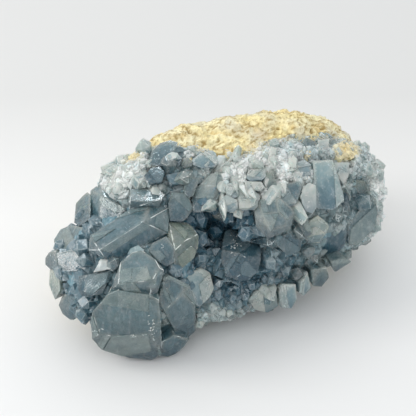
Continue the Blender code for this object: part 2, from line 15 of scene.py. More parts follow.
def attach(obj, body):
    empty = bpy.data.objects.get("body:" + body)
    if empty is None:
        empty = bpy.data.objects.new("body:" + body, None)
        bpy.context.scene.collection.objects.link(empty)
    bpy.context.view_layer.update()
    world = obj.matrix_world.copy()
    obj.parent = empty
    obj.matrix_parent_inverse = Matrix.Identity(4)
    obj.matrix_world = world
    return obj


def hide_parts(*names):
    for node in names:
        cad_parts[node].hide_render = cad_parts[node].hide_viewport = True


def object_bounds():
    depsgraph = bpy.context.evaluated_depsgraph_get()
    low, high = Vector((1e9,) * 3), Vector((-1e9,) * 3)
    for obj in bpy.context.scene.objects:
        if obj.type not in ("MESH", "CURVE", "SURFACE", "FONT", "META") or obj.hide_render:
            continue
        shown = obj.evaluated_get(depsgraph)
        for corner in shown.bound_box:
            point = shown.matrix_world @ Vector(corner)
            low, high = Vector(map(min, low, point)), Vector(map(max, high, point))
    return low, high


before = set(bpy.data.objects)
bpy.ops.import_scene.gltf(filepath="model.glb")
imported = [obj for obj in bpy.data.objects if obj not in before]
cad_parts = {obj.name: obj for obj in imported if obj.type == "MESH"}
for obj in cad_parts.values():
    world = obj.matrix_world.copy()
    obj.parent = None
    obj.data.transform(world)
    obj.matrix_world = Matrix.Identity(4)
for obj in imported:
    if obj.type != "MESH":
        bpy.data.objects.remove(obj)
CAD_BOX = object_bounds()

MM = 0.001
SEED = 41
CENTRING = Vector((0, -0.3, 0))
PLACE = Matrix.Scale(MM, 4) @ Matrix.Translation(CENTRING)
BOX_MARGIN = 0.05
BOX_LOW = np.array(CAD_BOX[0]) / MM - np.array(CENTRING) + BOX_MARGIN
BOX_HIGH = np.array(CAD_BOX[1]) / MM - np.array(CENTRING) - BOX_MARGIN

# Bed of the crust, as in the solids
BED_LUMPS = (
    ((14, -1, 28), (44, 26, 25)),
    ((-14, 6, 33), (26, 20, 22)),
    ((-34, -6, 24), (23, 23, 20)),
    ((0, -10, 13.5), (36, 18, 12)),
    ((38, -5, 25), (18, 18, 18)),
)
HOLLOW_LUMPS = (
    ((-9, -17, 38), (8, 10, 9)),
    ((0, -20, 31), (9, 9, 8)),
)
BED_VOXEL = 2.4
BED_TRIANGLES = 600
BED_SMOOTHING = 6
FINE_BED_VOXEL = 0.8
FINE_SMOOTHING = 14
CRUST_LIFT = 0.6

# The front plane: places on it are (right, up, out) as the camera sees them
VIEW_AZIMUTH = math.radians(-25)
VIEW_ELEVATION = math.radians(40)
VIEW_DISTANCE = 480.0
PLANE_ORIGIN = Vector((-5.5, -4.5, 36.5))
OUT = Vector((
    math.sin(VIEW_AZIMUTH) * math.cos(VIEW_ELEVATION),
    -math.cos(VIEW_AZIMUTH) * math.cos(VIEW_ELEVATION),
    math.sin(VIEW_ELEVATION),
))
RIGHT = Vector((math.cos(VIEW_AZIMUTH), math.sin(VIEW_AZIMUTH), 0))
UP = OUT.cross(RIGHT)
EYE = PLANE_ORIGIN + OUT * VIEW_DISTANCE

# Large crystals: how far the highest corner stands above the bed, then the corners that show, as
# (right, up, how far below the highest corner)
LARGE_CRYSTALS = {
    "long_prism": (6.5, (
        (-37, -13.3, 0), (-22.3, -4, 0), (-40, -8.3, 3), (-33.3, -4, 5.5), (-26.7, 0.3, 5.5),
        (-19.7, 2.3, 5), (-40.7, -13.3, 3), (-15, 2, 6.5), (-13.3, 1, 7), (-14, -7.7, 6),
        (-19.3, -11, 5), (-30.3, -16, 4), (-34.7, -16.5, 3))),
    "mirror": (6, (
        (-26.7, 7, 4), (-17.3, 7.3, 4), (-15, 5.3, 2.5), (-16, 3.7, 1), (-20, 2.7, 0),
        (-26.7, 3.3, 0), (-27.7, 2, 2), (-27, 0, 3), (-17, 1, 3))),
    "upper_left": (5, (
        (-40, 6.5, 3), (-38, 8, 3), (-36, 8, 2), (-33, 5.7, 2), (-28, 0.3, 2.5), (-31, -3, 2),
        (-36.3, -7, 1.5), (-40, -6, 3), (-36.7, 5, 0), (-36.8, -4, 0))),
    "left_shoulder": (4.5, (
        (-44.7, 2.3, 2), (-43.3, 4, 2), (-41, 6, 1), (-40, 5.3, 0), (-40, -2.7, 0),
        (-42, -4.3, 0), (-43.7, -5.3, 1), (-45.3, -4.3, 2), (-45, -0.7, 2))),
    "left_round": (5.5, (
        (-52, -10, 3), (-51, -8, 3), (-49.7, -6.3, 2.5), (-46.7, -5, 1.5), (-44, -5.3, 1),
        (-40.3, -6, 1.5), (-42, -9.7, 0), (-45, -11.7, 0), (-46.7, -13, 0.5), (-49.7, -13.3, 2),
        (-51.7, -12, 3))),
    "left_edge": (4.5, (
        (-55, -16, 2), (-53.7, -13.7, 1), (-51.3, -13.7, 0), (-50.7, -18.7, 0), (-53.3, -20, 1),
        (-55, -18.3, 2))),
    "glossy": (4, (
        (-51.3, -14.3, 1), (-48.3, -14, 1), (-45.7, -13, 1.5), (-44.3, -14, 1),
        (-42.3, -17.3, 0.5), (-41.3, -19.3, 0.5), (-43.3, -20.6, 0), (-48, -20.4, 0),
        (-50.7, -18, 0.5))),
    "bright_chip": (4.5, (
        (-37.3, -17.7, 2), (-36.3, -16.3, 2), (-34.3, -16.3, 2), (-32.7, -19, 1),
        (-33.3, -19.7, 0), (-37.3, -20.3, 0), (-39, -20.7, 1))),
    "under_chip": (4.5, (
        (-39.3, -21, 2), (-33, -20, 2), (-34.3, -24.3, 1), (-36, -28, 1), (-39, -28.3, 0),
        (-42.7, -29, 1), (-44, -27, 1), (-44, -22, 2))),
    "low_left": (5.5, (
        (-50, -30, 2), (-48, -27.3, 1.5), (-46, -26.3, 1), (-44, -27.3, 0.5), (-43, -31.7, 0),
        (-42.7, -33.7, 0.5), (-44.7, -36, 1), (-46.7, -36.7, 1.5), (-49.3, -34.7, 2),
        (-50.7, -31.7, 2))),
    "mid_left": (3.5, (
        (-50, -20, 1), (-44, -20.7, 0), (-44.5, -25, 0), (-48, -26.5, 0.5), (-51, -24, 1.5))),
    "left_rim": (3.5, (
        (-53.6, -20, 1.5), (-50.7, -19.3, 0), (-50, -26.7, 0), (-51.7, -30, 1), (-53.8, -25, 1.5))),
    "centre_block": (8, (
        (-30, -17.3, 2), (-26, -14, 3.5), (-22.7, -13.3, 3.5), (-18.3, -16.3, 3),
        (-16.7, -19.3, 2.5), (-19.3, -23.3, 0), (-30.7, -24.7, 0), (-33, -26.3, 3),
        (-27.3, -28.7, 3.5), (-20, -28.7, 3.5), (-17.3, -27.3, 4), (-15.3, -20, 4))),
    "wedge": (5, (
        (-19.3, -11, 2), (-14.7, -8.7, 2), (-13.3, -10, 1.5), (-11.7, -13, 0), (-12, -17.3, 1),
        (-14.3, -18.7, 1.5), (-16.7, -17.7, 1.5), (-18.3, -15.7, 2), (-20.5, -13.5, 2))),
    "olive_top": (8, (
        (-13.7, -4, 5), (-8, -4, 5), (-6, -5.3, 4), (-4, -8, 3), (-8, -10, 0.8), (-11.7, -13.3, 0),
        (-13.3, -11, 2), (-14, -7.3, 4), (-4.3, -13.3, 4), (-5.3, -16, 4.5), (-10, -20, 4),
        (-12, -18, 2.5))),
    "grey_block": (4, (
        (-14, 2, 1), (-13, 5.7, 2), (-8.3, 5.7, 2), (-6.7, 4.3, 1.5), (-5.7, 0.7, 1),
        (-7.3, -2, 0.5), (-9.3, -3.7, 0), (-13.3, -3.7, 0))),
    "pale_cap": (7.5, (
        (-15.7, -23, 5), (-13.7, -21.7, 5.5), (-6.7, -25, 2.5), (-9, -27.7, 0.5), (-12.7, -31, 0),
        (-15.3, -34, 1), (-17.3, -30, 3.5), (-4.7, -32, 2.5), (-4.3, -36.7, 3.5),
        (-4.7, -40.3, 5), (-8, -43.3, 5), (-11.7, -40.5, 2.5))),
    "pale_wing": (6.5, (
        (-9, -22, 3), (-6.7, -20.7, 3), (-2.7, -19.3, 3), (0, -20.7, 2.5), (0.6, -23.3, 2),
        (1.3, -26, 2), (0, -29, 1.5), (-3.3, -32.3, 0.5), (-4.7, -31.7, 0), (-6.3, -27.3, 0),
        (-7.3, -24.7, 1))),
    "great_bottom": (10.2, (
        (-40, -37.3, 3.5), (-39.3, -34, 4), (-37, -31, 4.5), (-34, -28, 5), (-30.7, -26.7, 5),
        (-20, -28.5, 4.5), (-17, -30, 4.5), (-16.4, -36, 3), (-20, -41.3, 0), (-27.3, -42.7, 0),
        (-33.3, -42, 0), (-37, -41.3, 0.8), (-39.5, -43, 3), (-36, -46.7, 4), (-27, -49.5, 4.5),
        (-19, -50.2, 5), (-16, -47.7, 5), (-16.3, -42, 3))),
    "white_blade": (8, (
        (-16.3, -34.3, 1), (-15, -35, 0.5), (-13.3, -37.3, 0), (-12, -39.7, 0.5), (-13, -42.7, 1.5),
        (-14.3, -44.7, 2.5), (-15.5, -42.7, 2), (-15.9, -38.3, 1))),
    "bottom_block": (7.4, (
        (-16, -44, 0.5), (-12, -41.7, 0), (-8, -43.2, 1), (-6.9, -43, 1.5), (-8.7, -45.7, 2),
        (-11.3, -48, 2.5), (-14, -49, 3), (-16.7, -48.7, 3))),
    "hollow_block": (14, (
        (4, -13.3, 2), (5, -7, 5), (6.7, -6.3, 5), (11.3, -8, 4.5), (14, -11.7, 3),
        (10, -14.5, 0), (17.3, -12.7, 4), (17, -16.7, 3.5), (16, -20.7, 3.5), (13.3, -23, 3.5),
        (10, -23.7, 3), (5.3, -22, 2.5), (3.7, -17.3, 2))),
    "hanging_blade": (5.5, (
        (-6, -0.7, 1), (-6.3, 3.3, 2), (-5, 7, 3), (-2.3, 10, 4), (0.3, 12.3, 5), (3, 13, 5.5),
        (5, 12, 5.5), (4, 7.3, 3.5), (1.3, 4, 1), (-0.7, -0.3, 0), (-5.3, -1, 0))),
    "narrow_blade": (5, (
        (-8.7, 6, 1), (-8, 10, 2), (-6.7, 11.3, 2.5), (-3.3, 10.7, 2.5), (-4.7, 8, 1),
        (-6, 4.7, 0), (-7.3, 4.3, 0))),
    "white_point": (5, (
        (5, 8, 1.5), (6, 9.3, 2), (10.7, 7.7, 1.5), (10, 5.3, 0.5), (8.3, 3.7, 0), (5.3, 5.3, 0.5))),
    "brow_block": (5.5, (
        (10, 6.7, 2), (15.3, 6.3, 2), (16.7, 5, 2), (16, 2, 0.5), (14.7, 0, 0), (11, -0.3, 0),
        (9.7, 0.3, 0), (9.3, 3.3, 1))),
    "small_box": (4.5, (
        (2.3, 2, 0.5), (3.7, 3.8, 1), (5.3, 5.3, 1.5), (9.3, 3.3, 1), (9.3, 0.7, 0),
        (8, -0.7, 0), (6, -0.7, 0))),
    "olive_tooth": (2.5, (
        (0.3, -0.2, 0.5), (5, -0.2, 0.5), (5.3, -1.7, 0), (3, -4, 0.5), (0.7, -2, 0))),
    "window": (7, (
        (14.7, -0.7, 2), (16.3, 3.3, 3), (21.7, 5.3, 3.5), (27, 1, 3), (28.3, -1, 2.5),
        (27, -6, 2), (23.3, -8, 1.5), (19.3, -9.7, 1.5), (15.3, -5.7, 2), (17.7, -1.2, 0.6),
        (23.3, -0.7, 0.6), (26, -3.5, 0.4), (25.3, -5.5, 0), (20, -7.3, 0), (17.7, -4.4, 0.2))),
    "great_right": (6.5, (
        (35.3, 9, 1), (34.3, 16.7, 3), (41, 16.7, 3), (43.3, 8.3, 2), (44.7, 5, 1.5),
        (44.7, 3.3, 1), (42.7, 1, 0.5), (41, 0, 0.3), (36.7, 0.3, 0), (35.3, 1, 0))),
    "milky_front": (7, (
        (30.3, 5, 1), (31.7, 8.3, 2), (33.7, 9, 2), (35.3, 8.3, 1.5), (35.6, 0.7, 0),
        (34, -1.3, 0), (31.7, -0.3, 0.5), (30.7, 2.3, 0.5))),
    "blue_face": (4.5, (
        (23.3, 9, 2), (30, 9.7, 2), (31, 8, 1.5), (30, 5.3, 1), (29, 2.3, 0), (26.7, 0.7, 0),
        (24, 1, 0), (23.3, 3.3, 0.5))),
    "upper_small": (4, (
        (27.7, 16, 2), (31.7, 16.7, 2), (34, 15, 1.5), (33.7, 11.7, 0), (29.3, 10.7, 0),
        (27.7, 12.7, 0.5))),
    "sugary": (5, (
        (41.7, 16, 1), (46.7, 16, 1.5), (46, 10.7, 0), (44.7, 8.3, 0), (43.3, 10, 0),
        (41.3, 12.7, 0))),
    "beige_left": (5, (
        (26.7, 0, 1), (29.3, 2, 1.5), (31, -0.7, 1), (32.7, -3.3, 0.5), (34, -8, 0),
        (32, -9.3, 0.5), (30, -6, 0.5), (28.3, -2, 0.8))),
    "beige_right": (5.5, (
        (33, -3.7, 1), (36, -1.7, 1.5), (38, -3.3, 1), (39.7, -5.3, 0.5), (38.7, -7.7, 0),
        (36.7, -10.7, 1), (34.3, -11, 1), (32, -9.3, 1))),
    "dark_right": (3, (
        (39.7, -6.3, 0), (45.3, -4, 0.5), (46, -7.3, 1), (45.3, -11.3, 1), (43.3, -14, 1.5),
        (40, -15.3, 1.5), (36.5, -15.5, 1.5), (36.7, -11, 0.5))),
    "right_slab": (4.5, (
        (45.7, -4.7, 0.5), (47.3, -2.7, 0.5), (51, 0.3, 1), (53.3, 3.3, 1.5), (54.7, 4.7, 2),
        (56.2, 0, 2), (55, -6, 2), (51.7, -9, 1), (49, -12, 0.5), (46, -11.7, 0))),
    "olive_right": (3.5, (
        (47.3, 10, 0.5), (52, 9.3, 1), (52.7, 6.7, 1), (50, 5, 0.3), (47.7, 7.7, 0))),
    "under_window": (3.5, (
        (20, -10.3, 0.5), (26.7, -7.3, 0), (30.7, -10, 0.5), (30, -14, 1), (26, -15.3, 1),
        (23.3, -13.3, 1))),
    "grey_twin": (5, (
        (-21, 15.7, 0), (-19.3, 20, 1), (-16.7, 22.5, 2), (-13.3, 23.5, 2), (-10.7, 22.7, 2),
        (-12.7, 20, 1), (-13.3, 15, 0), (-15.7, 14.7, 0), (-19.3, 15, 0))),
    "dark_slab": (4, (
        (-12.3, 19.3, 1), (-10, 21.3, 1.5), (-8, 20, 1.5), (-9, 17.3, 1), (-10, 14.7, 0),
        (-12, 14, 0))),
    "brow_grey": (5, (
        (-6.3, 16.7, 1), (-3.3, 19, 1.5), (0.7, 20, 2), (2, 19, 1.5), (3, 15.7, 0.5),
        (1.3, 14.3, 0), (-2.3, 14, 0), (-5.7, 15, 0))),
    "dark_crystal": (4.5, (
        (-22.3, 11, 0.5), (-20, 14, 1.5), (-16.7, 14.7, 2), (-15, 12.7, 1), (-16, 9.3, 0),
        (-20, 8.7, 0))),
    "shaded": (3, (
        (-15, 11.7, 1), (-10.7, 12.7, 1.5), (-8.7, 8.7, 0.5), (-13.3, 8.3, 0))),
    "brow_wall": (5, (
        (12.7, 13.3, 1), (18.3, 14, 1.5), (18.7, 11.3, 0.5), (17.3, 10, 0), (13.3, 9.7, 0),
        (12, 11, 0.5))),
    "brow_lip": (5.5, (
        (11.7, 9.7, 1.5), (17.3, 9.5, 1.5), (18.3, 7.7, 0.5), (17, 6.3, 0), (12.7, 6.5, 0))),
    "green_column": (4.5, (
        (18.7, 12.7, 1.5), (21.3, 12.7, 1.5), (22.7, 6.7, 0.3), (20, 5.3, 0), (18.3, 8, 0.3))),
    "grey_window": (4, (
        (30, 22.3, 1), (32, 24.3, 1.5), (34.7, 23.3, 1.5), (35.3, 20, 0), (32.7, 19.3, 0),
        (30.3, 20.3, 0))),
    "white_lump": (4.5, (
        (35.8, 23.3, 1.5), (40, 24, 1.5), (39.3, 20, 0.5), (36.5, 19, 0))),
    "rim_left": (3.5, (
        (12.3, -30, 0.5), (15.3, -27, 0), (20, -26.7, 0), (22.3, -28.3, 0.5), (22.8, -32, 1.5),
        (19.3, -34.3, 2.5), (15, -33.3, 2))),
    "rim_right": (3.5, (
        (23.2, -26.7, 0.3), (24, -24.7, 0), (28.7, -24.7, 0.5), (29, -30, 1.5), (27.3, -33, 2.5),
        (24, -32.7, 2))),
    "rim_chip": (3.5, (
        (30, -24, 0.5), (32.7, -20.7, 0), (33.8, -26, 1), (31.3, -28.7, 2), (29.7, -27.3, 1.5))),
    "rim_slab": (3.5, (
        (34.3, -20, 0), (39, -19.3, 0.3), (39.7, -22.7, 1), (37.3, -25.7, 2), (34.5, -25.5, 1.5))),
    "rim_end": (3, (
        (40, -17.3, 0), (45, -16, 0.5), (47.3, -17.3, 1), (42, -20.7, 1.5))),
}
ROOT_DEPTH = 9.0
ROOT_TAPER = 0.72
BED_FOLLOW = 0.45

# Where the crystals end and the rind begins, as (right, up) on the front plane
RIND_LINE = (
    (-45, 6), (-30, 14.5), (-20, 20), (-10, 24), (0, 20.5), (15, 19.5), (25, 21), (33, 25),
    (42, 24), (50, 30))

# Small crystals of the solids: width by place, how near they stand and how far they lean
SMALL_WIDTH = (3.0, 4.4)
BLOCKY_WIDTH = (4.2, 6.4)
BLOCKY_ENDS = (-12, 44)
BROW_LOW = 2
RIM_HIGH = -22
SMALL_COUNT = 140
SMALL_TRIES = 6000
SMALL_SPACING = 0.95
SMALL_GAP = 1.15
LARGE_MARGIN = 1.2
LEAN = 0.38
HABIT_LENGTH = 0.95

# Habits: thickness by width, length, root by width, share of the tip and its slant
SMALL_HABIT = (0.66, 0.95), (0.8, 1.25), 0.8, (0.3, 0.55), 0.35
TOOTH_HABIT = (0.5, 0.9), (0.8, 1.3), 0.9, (0.5, 0.8), 0.3
GRAIN_HABIT = (0.55, 0.95), (0.35, 0.75), 0.7, (0.15, 0.5), 0.5
PLATY_HABIT = (0.3, 0.5), *GRAIN_HABIT[1:]

# Tone of a face: milky, olive, white with wear and painted glints, dark with painted shade, stained by
# clay;
# the crystals' last zeros are left out
TONES = ("milk", "olive", "white", "dark", "stain")
MILK, WHITE, DARK = TONES.index("milk"), TONES.index("white"), TONES.index("dark")
NO_TONE = (0,) * len(TONES)
CRYSTAL_TONES = {
    "long_prism": (0.1, 0.15, 0, 0.1),
    "mirror": (0.25, 0, 0.1),
    "upper_left": (0.25, 0.1),
    "left_shoulder": (0.45, 0.1),
    "left_round": (0.45, 0.05),
    "left_edge": (0.5,),
    "glossy": (0.2, 0, 0.1, 0.1),
    "bright_chip": (0.8, 0, 0.3),
    "under_chip": (0.05, 0, 0, 0.3),
    "low_left": (0.3,),
    "mid_left": (0.2, 0, 0, 0.2),
    "left_rim": (0.55, 0.3, 0, 0, 0.1),
    "centre_block": (0.4, 0.15),
    "wedge": (0.2, 0.1, 0, 0.1),
    "olive_top": (0.25, 0.8),
    "grey_block": (0.15, 0.2, 0, 0.15),
    "pale_cap": (0.4, 0.05),
    "pale_wing": (0.85, 0.15),
    "great_bottom": (0.15, 0.25, 0, 0.05),
    "white_blade": (0.8, 0, 0.4),
    "bottom_block": (0.1, 0, 0, 0.1),
    "hollow_block": (0.0, 0, 0, 0.45),
    "hanging_blade": (0.4, 0.1),
    "narrow_blade": (0.45, 0.1),
    "white_point": (0.8, 0.2, 0.1),
    "brow_block": (0.8, 0.1),
    "small_box": (0.8, 0.1),
    "olive_tooth": (0.1, 0.7, 0, 0.2),
    "window": (0.45, 0.1),
    "great_right": (0.6, 0.15),
    "milky_front": (0.85, 0.1, 0.1),
    "blue_face": (0.4,),
    "upper_small": (0.7,),
    "sugary": (0.8, 0.2, 0.2),
    "beige_left": (0.35, 0.45),
    "beige_right": (0.55, 0.6),
    "dark_right": (0.0, 0, 0, 0.35),
    "right_slab": (0.35, 0.1),
    "olive_right": (0.2, 0.9, 0, 0.1),
    "under_window": (0.1, 0, 0, 0.3),
    "grey_twin": (0.5, 0.1),
    "dark_slab": (0.1, 0.2, 0, 0.4),
    "brow_grey": (0.6, 0.1),
    "dark_crystal": (0.0, 0.1, 0, 0.5),
    "shaded": (0.0, 0.1, 0, 0.6),
    "brow_wall": (0.85, 0.1),
    "brow_lip": (0.85, 0.1),
    "green_column": (0.4, 0.5),
    "grey_window": (0.2, 0.3, 0, 0.2),
    "white_lump": (0.9, 0.1, 0.3, 0, 0.1),
    "rim_left": (0.7, 0.1),
    "rim_right": (0.65, 0.1),
    "rim_chip": (0.75, 0.1),
    "rim_slab": (0.4, 0.1),
    "rim_end": (0.4, 0.1),
}

# How far the edges of a crystal are worn white
WEAR = {
    "long_prism": 0.42,
    "centre_block": 0.35,
    "great_bottom": 0.35,
    "glossy": 0.4,
    "olive_top": 0.4,
    "window": 0.5,
    "bright_chip": 0.5,
    "white_blade": 0.5,
    "great_right": 0.35,
    "pale_wing": 0.35,
    "mirror": 0.4,
}
WEAR_DEFAULT = 0.1
SMALL_WEAR = 0.3
MILK_SPREAD = 0.15
TOOTH_WEAR = 0.35
WEAR_GRAIN = 2.0
WEAR_LIMIT = 0.5
WEAR_WHITE = 0.6

# Chipped corners, rounded edges and relief of the crystals
CHIP_DEPTH = 0.6
SMALL_CHIP_DEPTH = 0.3
CHIP_SPREAD = 0.35
CHIP_SHARE = (0.4, 1.2)
RIDGE_ANGLE = math.radians(16)
SMOOTH_ANGLE = math.radians(24)
FLAT_ANGLE = math.radians(9)
EDGE_BEVEL = 0.13
SMALL_BEVEL = 0.09
TOOTH_BEVEL = 0.1
FACET_STEP = 1.7
SMALL_STEP = 1.5
WAVE = 0.11
WAVE_LENGTHS = (5.5, 1.6)
WAVE_SECOND = 0.35
WAVE_SINK = 0.6

# Growth plates: smallest facet that carries them, how far each stands up, its share of the facet
PLATE_AREA = 16.0
PLATE_COUNTS = (0, 1, 2)
PLATE_START = 0.04
PLATE_HEIGHT = (0.08, 0.28)
PLATE_SHARE = (0.3, 0.75)
PLATE_SHRINK = 0.97
PLATE_SLOPE = 1.4
PLATE_ROOT = 0.15

# Painted light and shade on a crystal: width of the painted bright rim along its ridges, the lit
# side its facets are painted lighter towards, and how the painted shade deepens towards its foot
RIM_WIDTH = 0.95
LIT_SIDE = Vector((-0.42, 0.12, 0.90))
FACET_CHANCE = 0.4
FACET_HASH = (12.9898, 78.233, 43758.5453)
FALL_POWER = 1.3
LARGE_FALL_UP = 1.2
SMALL_FALL_UP = 0.7
SMALL_FALL = 1.3

# Zones of the druse on the front plane: centre, half sizes, then milky, olive, dark (painted shade,
# deepest in the hollow) and grain width
DRUSE_ZONES = (
    ((15, 13), (17, 8), (1.05, 0.08, 0.0), 1.3),
    ((-30, 11), (12, 6), (0.9, 0.1, 0.0), 1.4),
    ((-4, 20), (14, 6), (0.8, 0.15, 0.0), 1.3),
    ((48, 14), (8, 10), (0.75, 0.15, 0.0), 1.5),
    ((57, -2), (5, 16), (1.1, 0.05, 0.0), 2.8),
    ((8, -38), (20, 6), (0.6, 0.1, 0.0), 1.7),
    ((40, -24), (14, 7), (0.6, 0.1, 0.0), 1.8),
    ((14, -22), (20, 7), (0.1, 0.0, 0.75), 3.4),
    ((0, -5), (13, 9), (0.0, 0.0, 1.0), 4.2),
    ((8, -27), (6, 5), (0.05, 0.0, 0.8), 3.4),
    ((-8, -20), (6, 6), (0.0, 0.0, 0.8), 3.4),
    ((49, 6), (3.5, 7), (0.0, 0.5, 0.8), 3.0),
    ((-9, 10), (7, 6), (0.1, 0.2, 0.5), 3.0),
    ((-46, -30), (10, 14), (0.1, 0.1, 0.7), 3.6),
    ((-42, -8), (9, 13), (0.15, 0.05, 0.7), 3.6),
)
DRUSE_DEFAULT = ((0.32, 0.1, 0.25), 3.2)
DEFAULT_WEIGHT = 0.35
ZONE_WEIGHT = 3.0
ZONE_FALL = 1.4

# Clay on the druse: centre and half sizes on the front plane, and how it fades
CLAY_MIDDLE = 1.6
CLAY_FALL = 1.1
CLAY_PATCHES = (
    ((45.5, 19.5), (4.0, 3.2)),
    ((11.5, 22), (5.0, 2.4)),
    ((-7.3, 16), (1.2, 1.0)),
    ((31.7, 18), (1.3, 0.9)),
    ((44, 12.7), (1.2, 1.0)),
    ((-42.3, -17.7), (1.0, 1.0)),
    ((-52.5, -25), (1.6, 2.4)),
    ((-27, 18.5), (4.0, 2.2)),
    ((-21, 22.5), (4.0, 2.4)),
    ((-14, 26.5), (4.0, 2.4)),
    ((-43, -41), (5.0, 1.6)),
    ((-2, -43), (6.0, 1.6)),
)

# Pointed crystals that hang over the hollow and stand along the rim: centre, spread and count on
# the front plane, then their width, length by width, milky share and how far they hang down
TEETH = (
    ((13, 5), (18, 4), 34, (4.2, 6.4), 1.5, 0.85, 0.95),
    ((13, 12), (17, 5), 24, (3.4, 5.4), 1.2, 0.95, 0.8),
    ((-13, 12), (8, 7), 14, (3.6, 5.6), 1.3, 0.6, 0.8),
    ((-28, 12), (9, 4), 14, (3.2, 5.0), 1.0, 0.95, 0.5),
    ((55, 0), (4, 15), 34, (2.4, 4.0), 1.2, 1.0, 0.1),
    ((30, -27), (14, 3), 22, (3.0, 5.0), 0.9, 0.6, 0.3),
    ((4, -36), (12, 3), 16, (2.6, 4.2), 0.9, 0.8, 0.3),
)
TOOTH_LIFT = 1.0
TOOTH_MARGIN = -0.8
TOOTH_LEAN = 0.28

# Relief of the bed: pale sugary mass and grains
PALE_LIFT = 2.3
PALE_RISE = 4.0
PALE_START = 0.4
PALE_RANGE = 0.3
BED_LIFT = 0.7
BED_LUMP_SIZE = 5.0
BED_LUMP_HEIGHT = 0.5
GRAIN_PITCH = 1.5
GRAIN_DIP = 1.0

# Grains of the druse
DRUSE_COUNT = 9000
GRAIN_SHAPES = 48
GRAIN_JITTER = 0.06
GRAIN_SINK = 0.25
PALE_SINK = 0.22
GRAIN_LEAN = 0.6
GRAIN_SPREAD = 0.35
WIDEST_GRAIN = 1.5
FULL_CHANCE_WIDTH = 1.9
PLATY_END = 50
STAIN_REACH = 2.5
ROCK_CLEARANCE = 0.6
DRUSE_CLEARANCE = -1.2

# Finishes of the crystals, by material slot
CLEAR_FINISH = 0
MILKY_FINISH = 1
WORN_FINISH = 2
MILKY_LIMIT = 0.52
DARK_LIMIT = 0.5
CLEAR_LOOK = {"clearness": 0.72, "roughness": 0.06, "density": 50.0}
MILKY_LOOK = {"clearness": 0.45, "roughness": 0.18, "density": 40.0, "bleeding": 0.3}
WORN_LOOK = {"clearness": 0.15, "roughness": 0.45, "bleeding": 0.4}
GROUND_LOOK = {"clearness": 0.0, "roughness": 0.4, "bleeding": 0.3}

# Worn spots and painted glints on the large crystals: place on the front plane, spread, count
SPARKLES = (
    ((-50, -15.5), (3.0, 2.4), 18),
    ((-47.5, -17.5), (1.6, 1.2), 8),
    ((-43, -12), (1.2, 1.0), 6),
    ((-21, 4.5), (5.0, 1.5), 10),
    ((-15.8, 4.8), (1.4, 1.8), 12),
    ((-28.3, -0.5), (1.2, 1.2), 3),
    ((9, -11.5), (5.0, 3.6), 22),
    ((-25.6, -42.3), (0.8, 0.8), 5),
    ((-37.6, -40.3), (2.0, 0.8), 8),
    ((-19.2, -39), (2.4, 3.4), 22),
    ((-15.6, -12), (0.9, 1.1), 4),
    ((33, 4), (1.6, 3.5), 4),
)
SPARKLE_SIZE = (0.12, 0.42)
SPARKLE_LENGTH = 3.0
SPARKLE_ANGLES = (0.3, 2.2, 3.6, 5.2)
SPARKLE_HEIGHTS = (-0.12, 0.06)
SPARKLE_TILT = 0.2
SPARKLE_TONE = (1, 0, 0.7, 0, 0)

# Colours of the crystals
CLEAR_BLUE = (0.36, 0.61, 0.69)
MILKY = (0.96, 0.97, 0.90)
CORE = (0.16, 0.34, 0.42)
# Painted shade of the facets that face away from the lit side
SHADED_FACET = (0.28, 0.46, 0.51)
BLOTCH = (0.54, 0.67, 0.68)
OLIVE = (0.66, 0.68, 0.46)
# Painted shade: the navy of the dark tone and of each crystal's shaded foot
SHADE_BLUE = (0.02, 0.14, 0.23)
# Painted shade of the ground under and between the crystals
GROUND_SHADE_BLUE = (0.10, 0.22, 0.28)
WORN = (0.93, 0.96, 0.95)
CLAY = (0.93, 0.80, 0.45)
ABSORBED = (0.34, 0.68, 0.77)
CELESTITE_IOR = 1.62
MILKY_SHADE = 0.4
BLEEDING_RADIUS = (0.8, 1.0, 1.0)
BLEEDING_DEPTH = 1.6 * MM

# Patterns: scale per metre, detail, roughness and distortion, then where they start and are full
VEILS = (95, 4, 0.6, 0.6, 0.46, 0.72)
STREAKS = (620, 4, 0.65, 0.4, 0.52, 0.7)
SPECKS = (1100, 3, 0.6, 0.0, 0.62, 0.72)
CORES = (150, 3, 0.6, 0.8, 0.42, 0.60)
BLOTCHES = (330, 5, 0.68, 0.5, 0.36, 0.64)
CLAY_TONES = (75, 4, 0.6, 0.4, 0.38, 0.62)
OCHRES = (150, 5, 0.65, 0.8, 0.50, 0.62)
STREAK_TURN = (0.5, 0.35, 0.7)
STREAK_STRETCH = (1, 1, 0.28)

# Rind: colours, then sizes and heights of its relief
CLAY_DARK = (0.98, 0.86, 0.46)
CLAY_PALE = (1.0, 0.95, 0.65)
OCHRE = (0.80, 0.56, 0.20)
RIND_GRAIN = (0.46, 0.34, 0.13)
ROCK_GREY = (0.62, 0.63, 0.58)
PIT_BROWN = (0.38, 0.26, 0.09)
RIND_VOXEL = 0.56
RIND_STRETCH = 1.9
LUMP_SIZE, LUMP_HEIGHT = 5.0, 0.5
FLAKE_SIZE, FLAKE_DEPTH = 1.9, 1.2
CRUMB_SIZE, CRUMB_HEIGHT = 0.8, 0.28
SCALE_SIZE, SCALE_HEIGHT = 1.7, 0.4
PIT_SIZE, PIT_DEPTH = 2.2, 0.8
PIT_LIMIT = 0.38
PIT_STEEP = 5.0
RIND_SINK = 0.15
FLAKE_EDGE = 0.13
GREY_SIZE = 9.0

# Floor and light, in metres and watts; a lamp has its place, target, size, power and colour
FLOOR_COLOUR = (0.80, 0.80, 0.793)
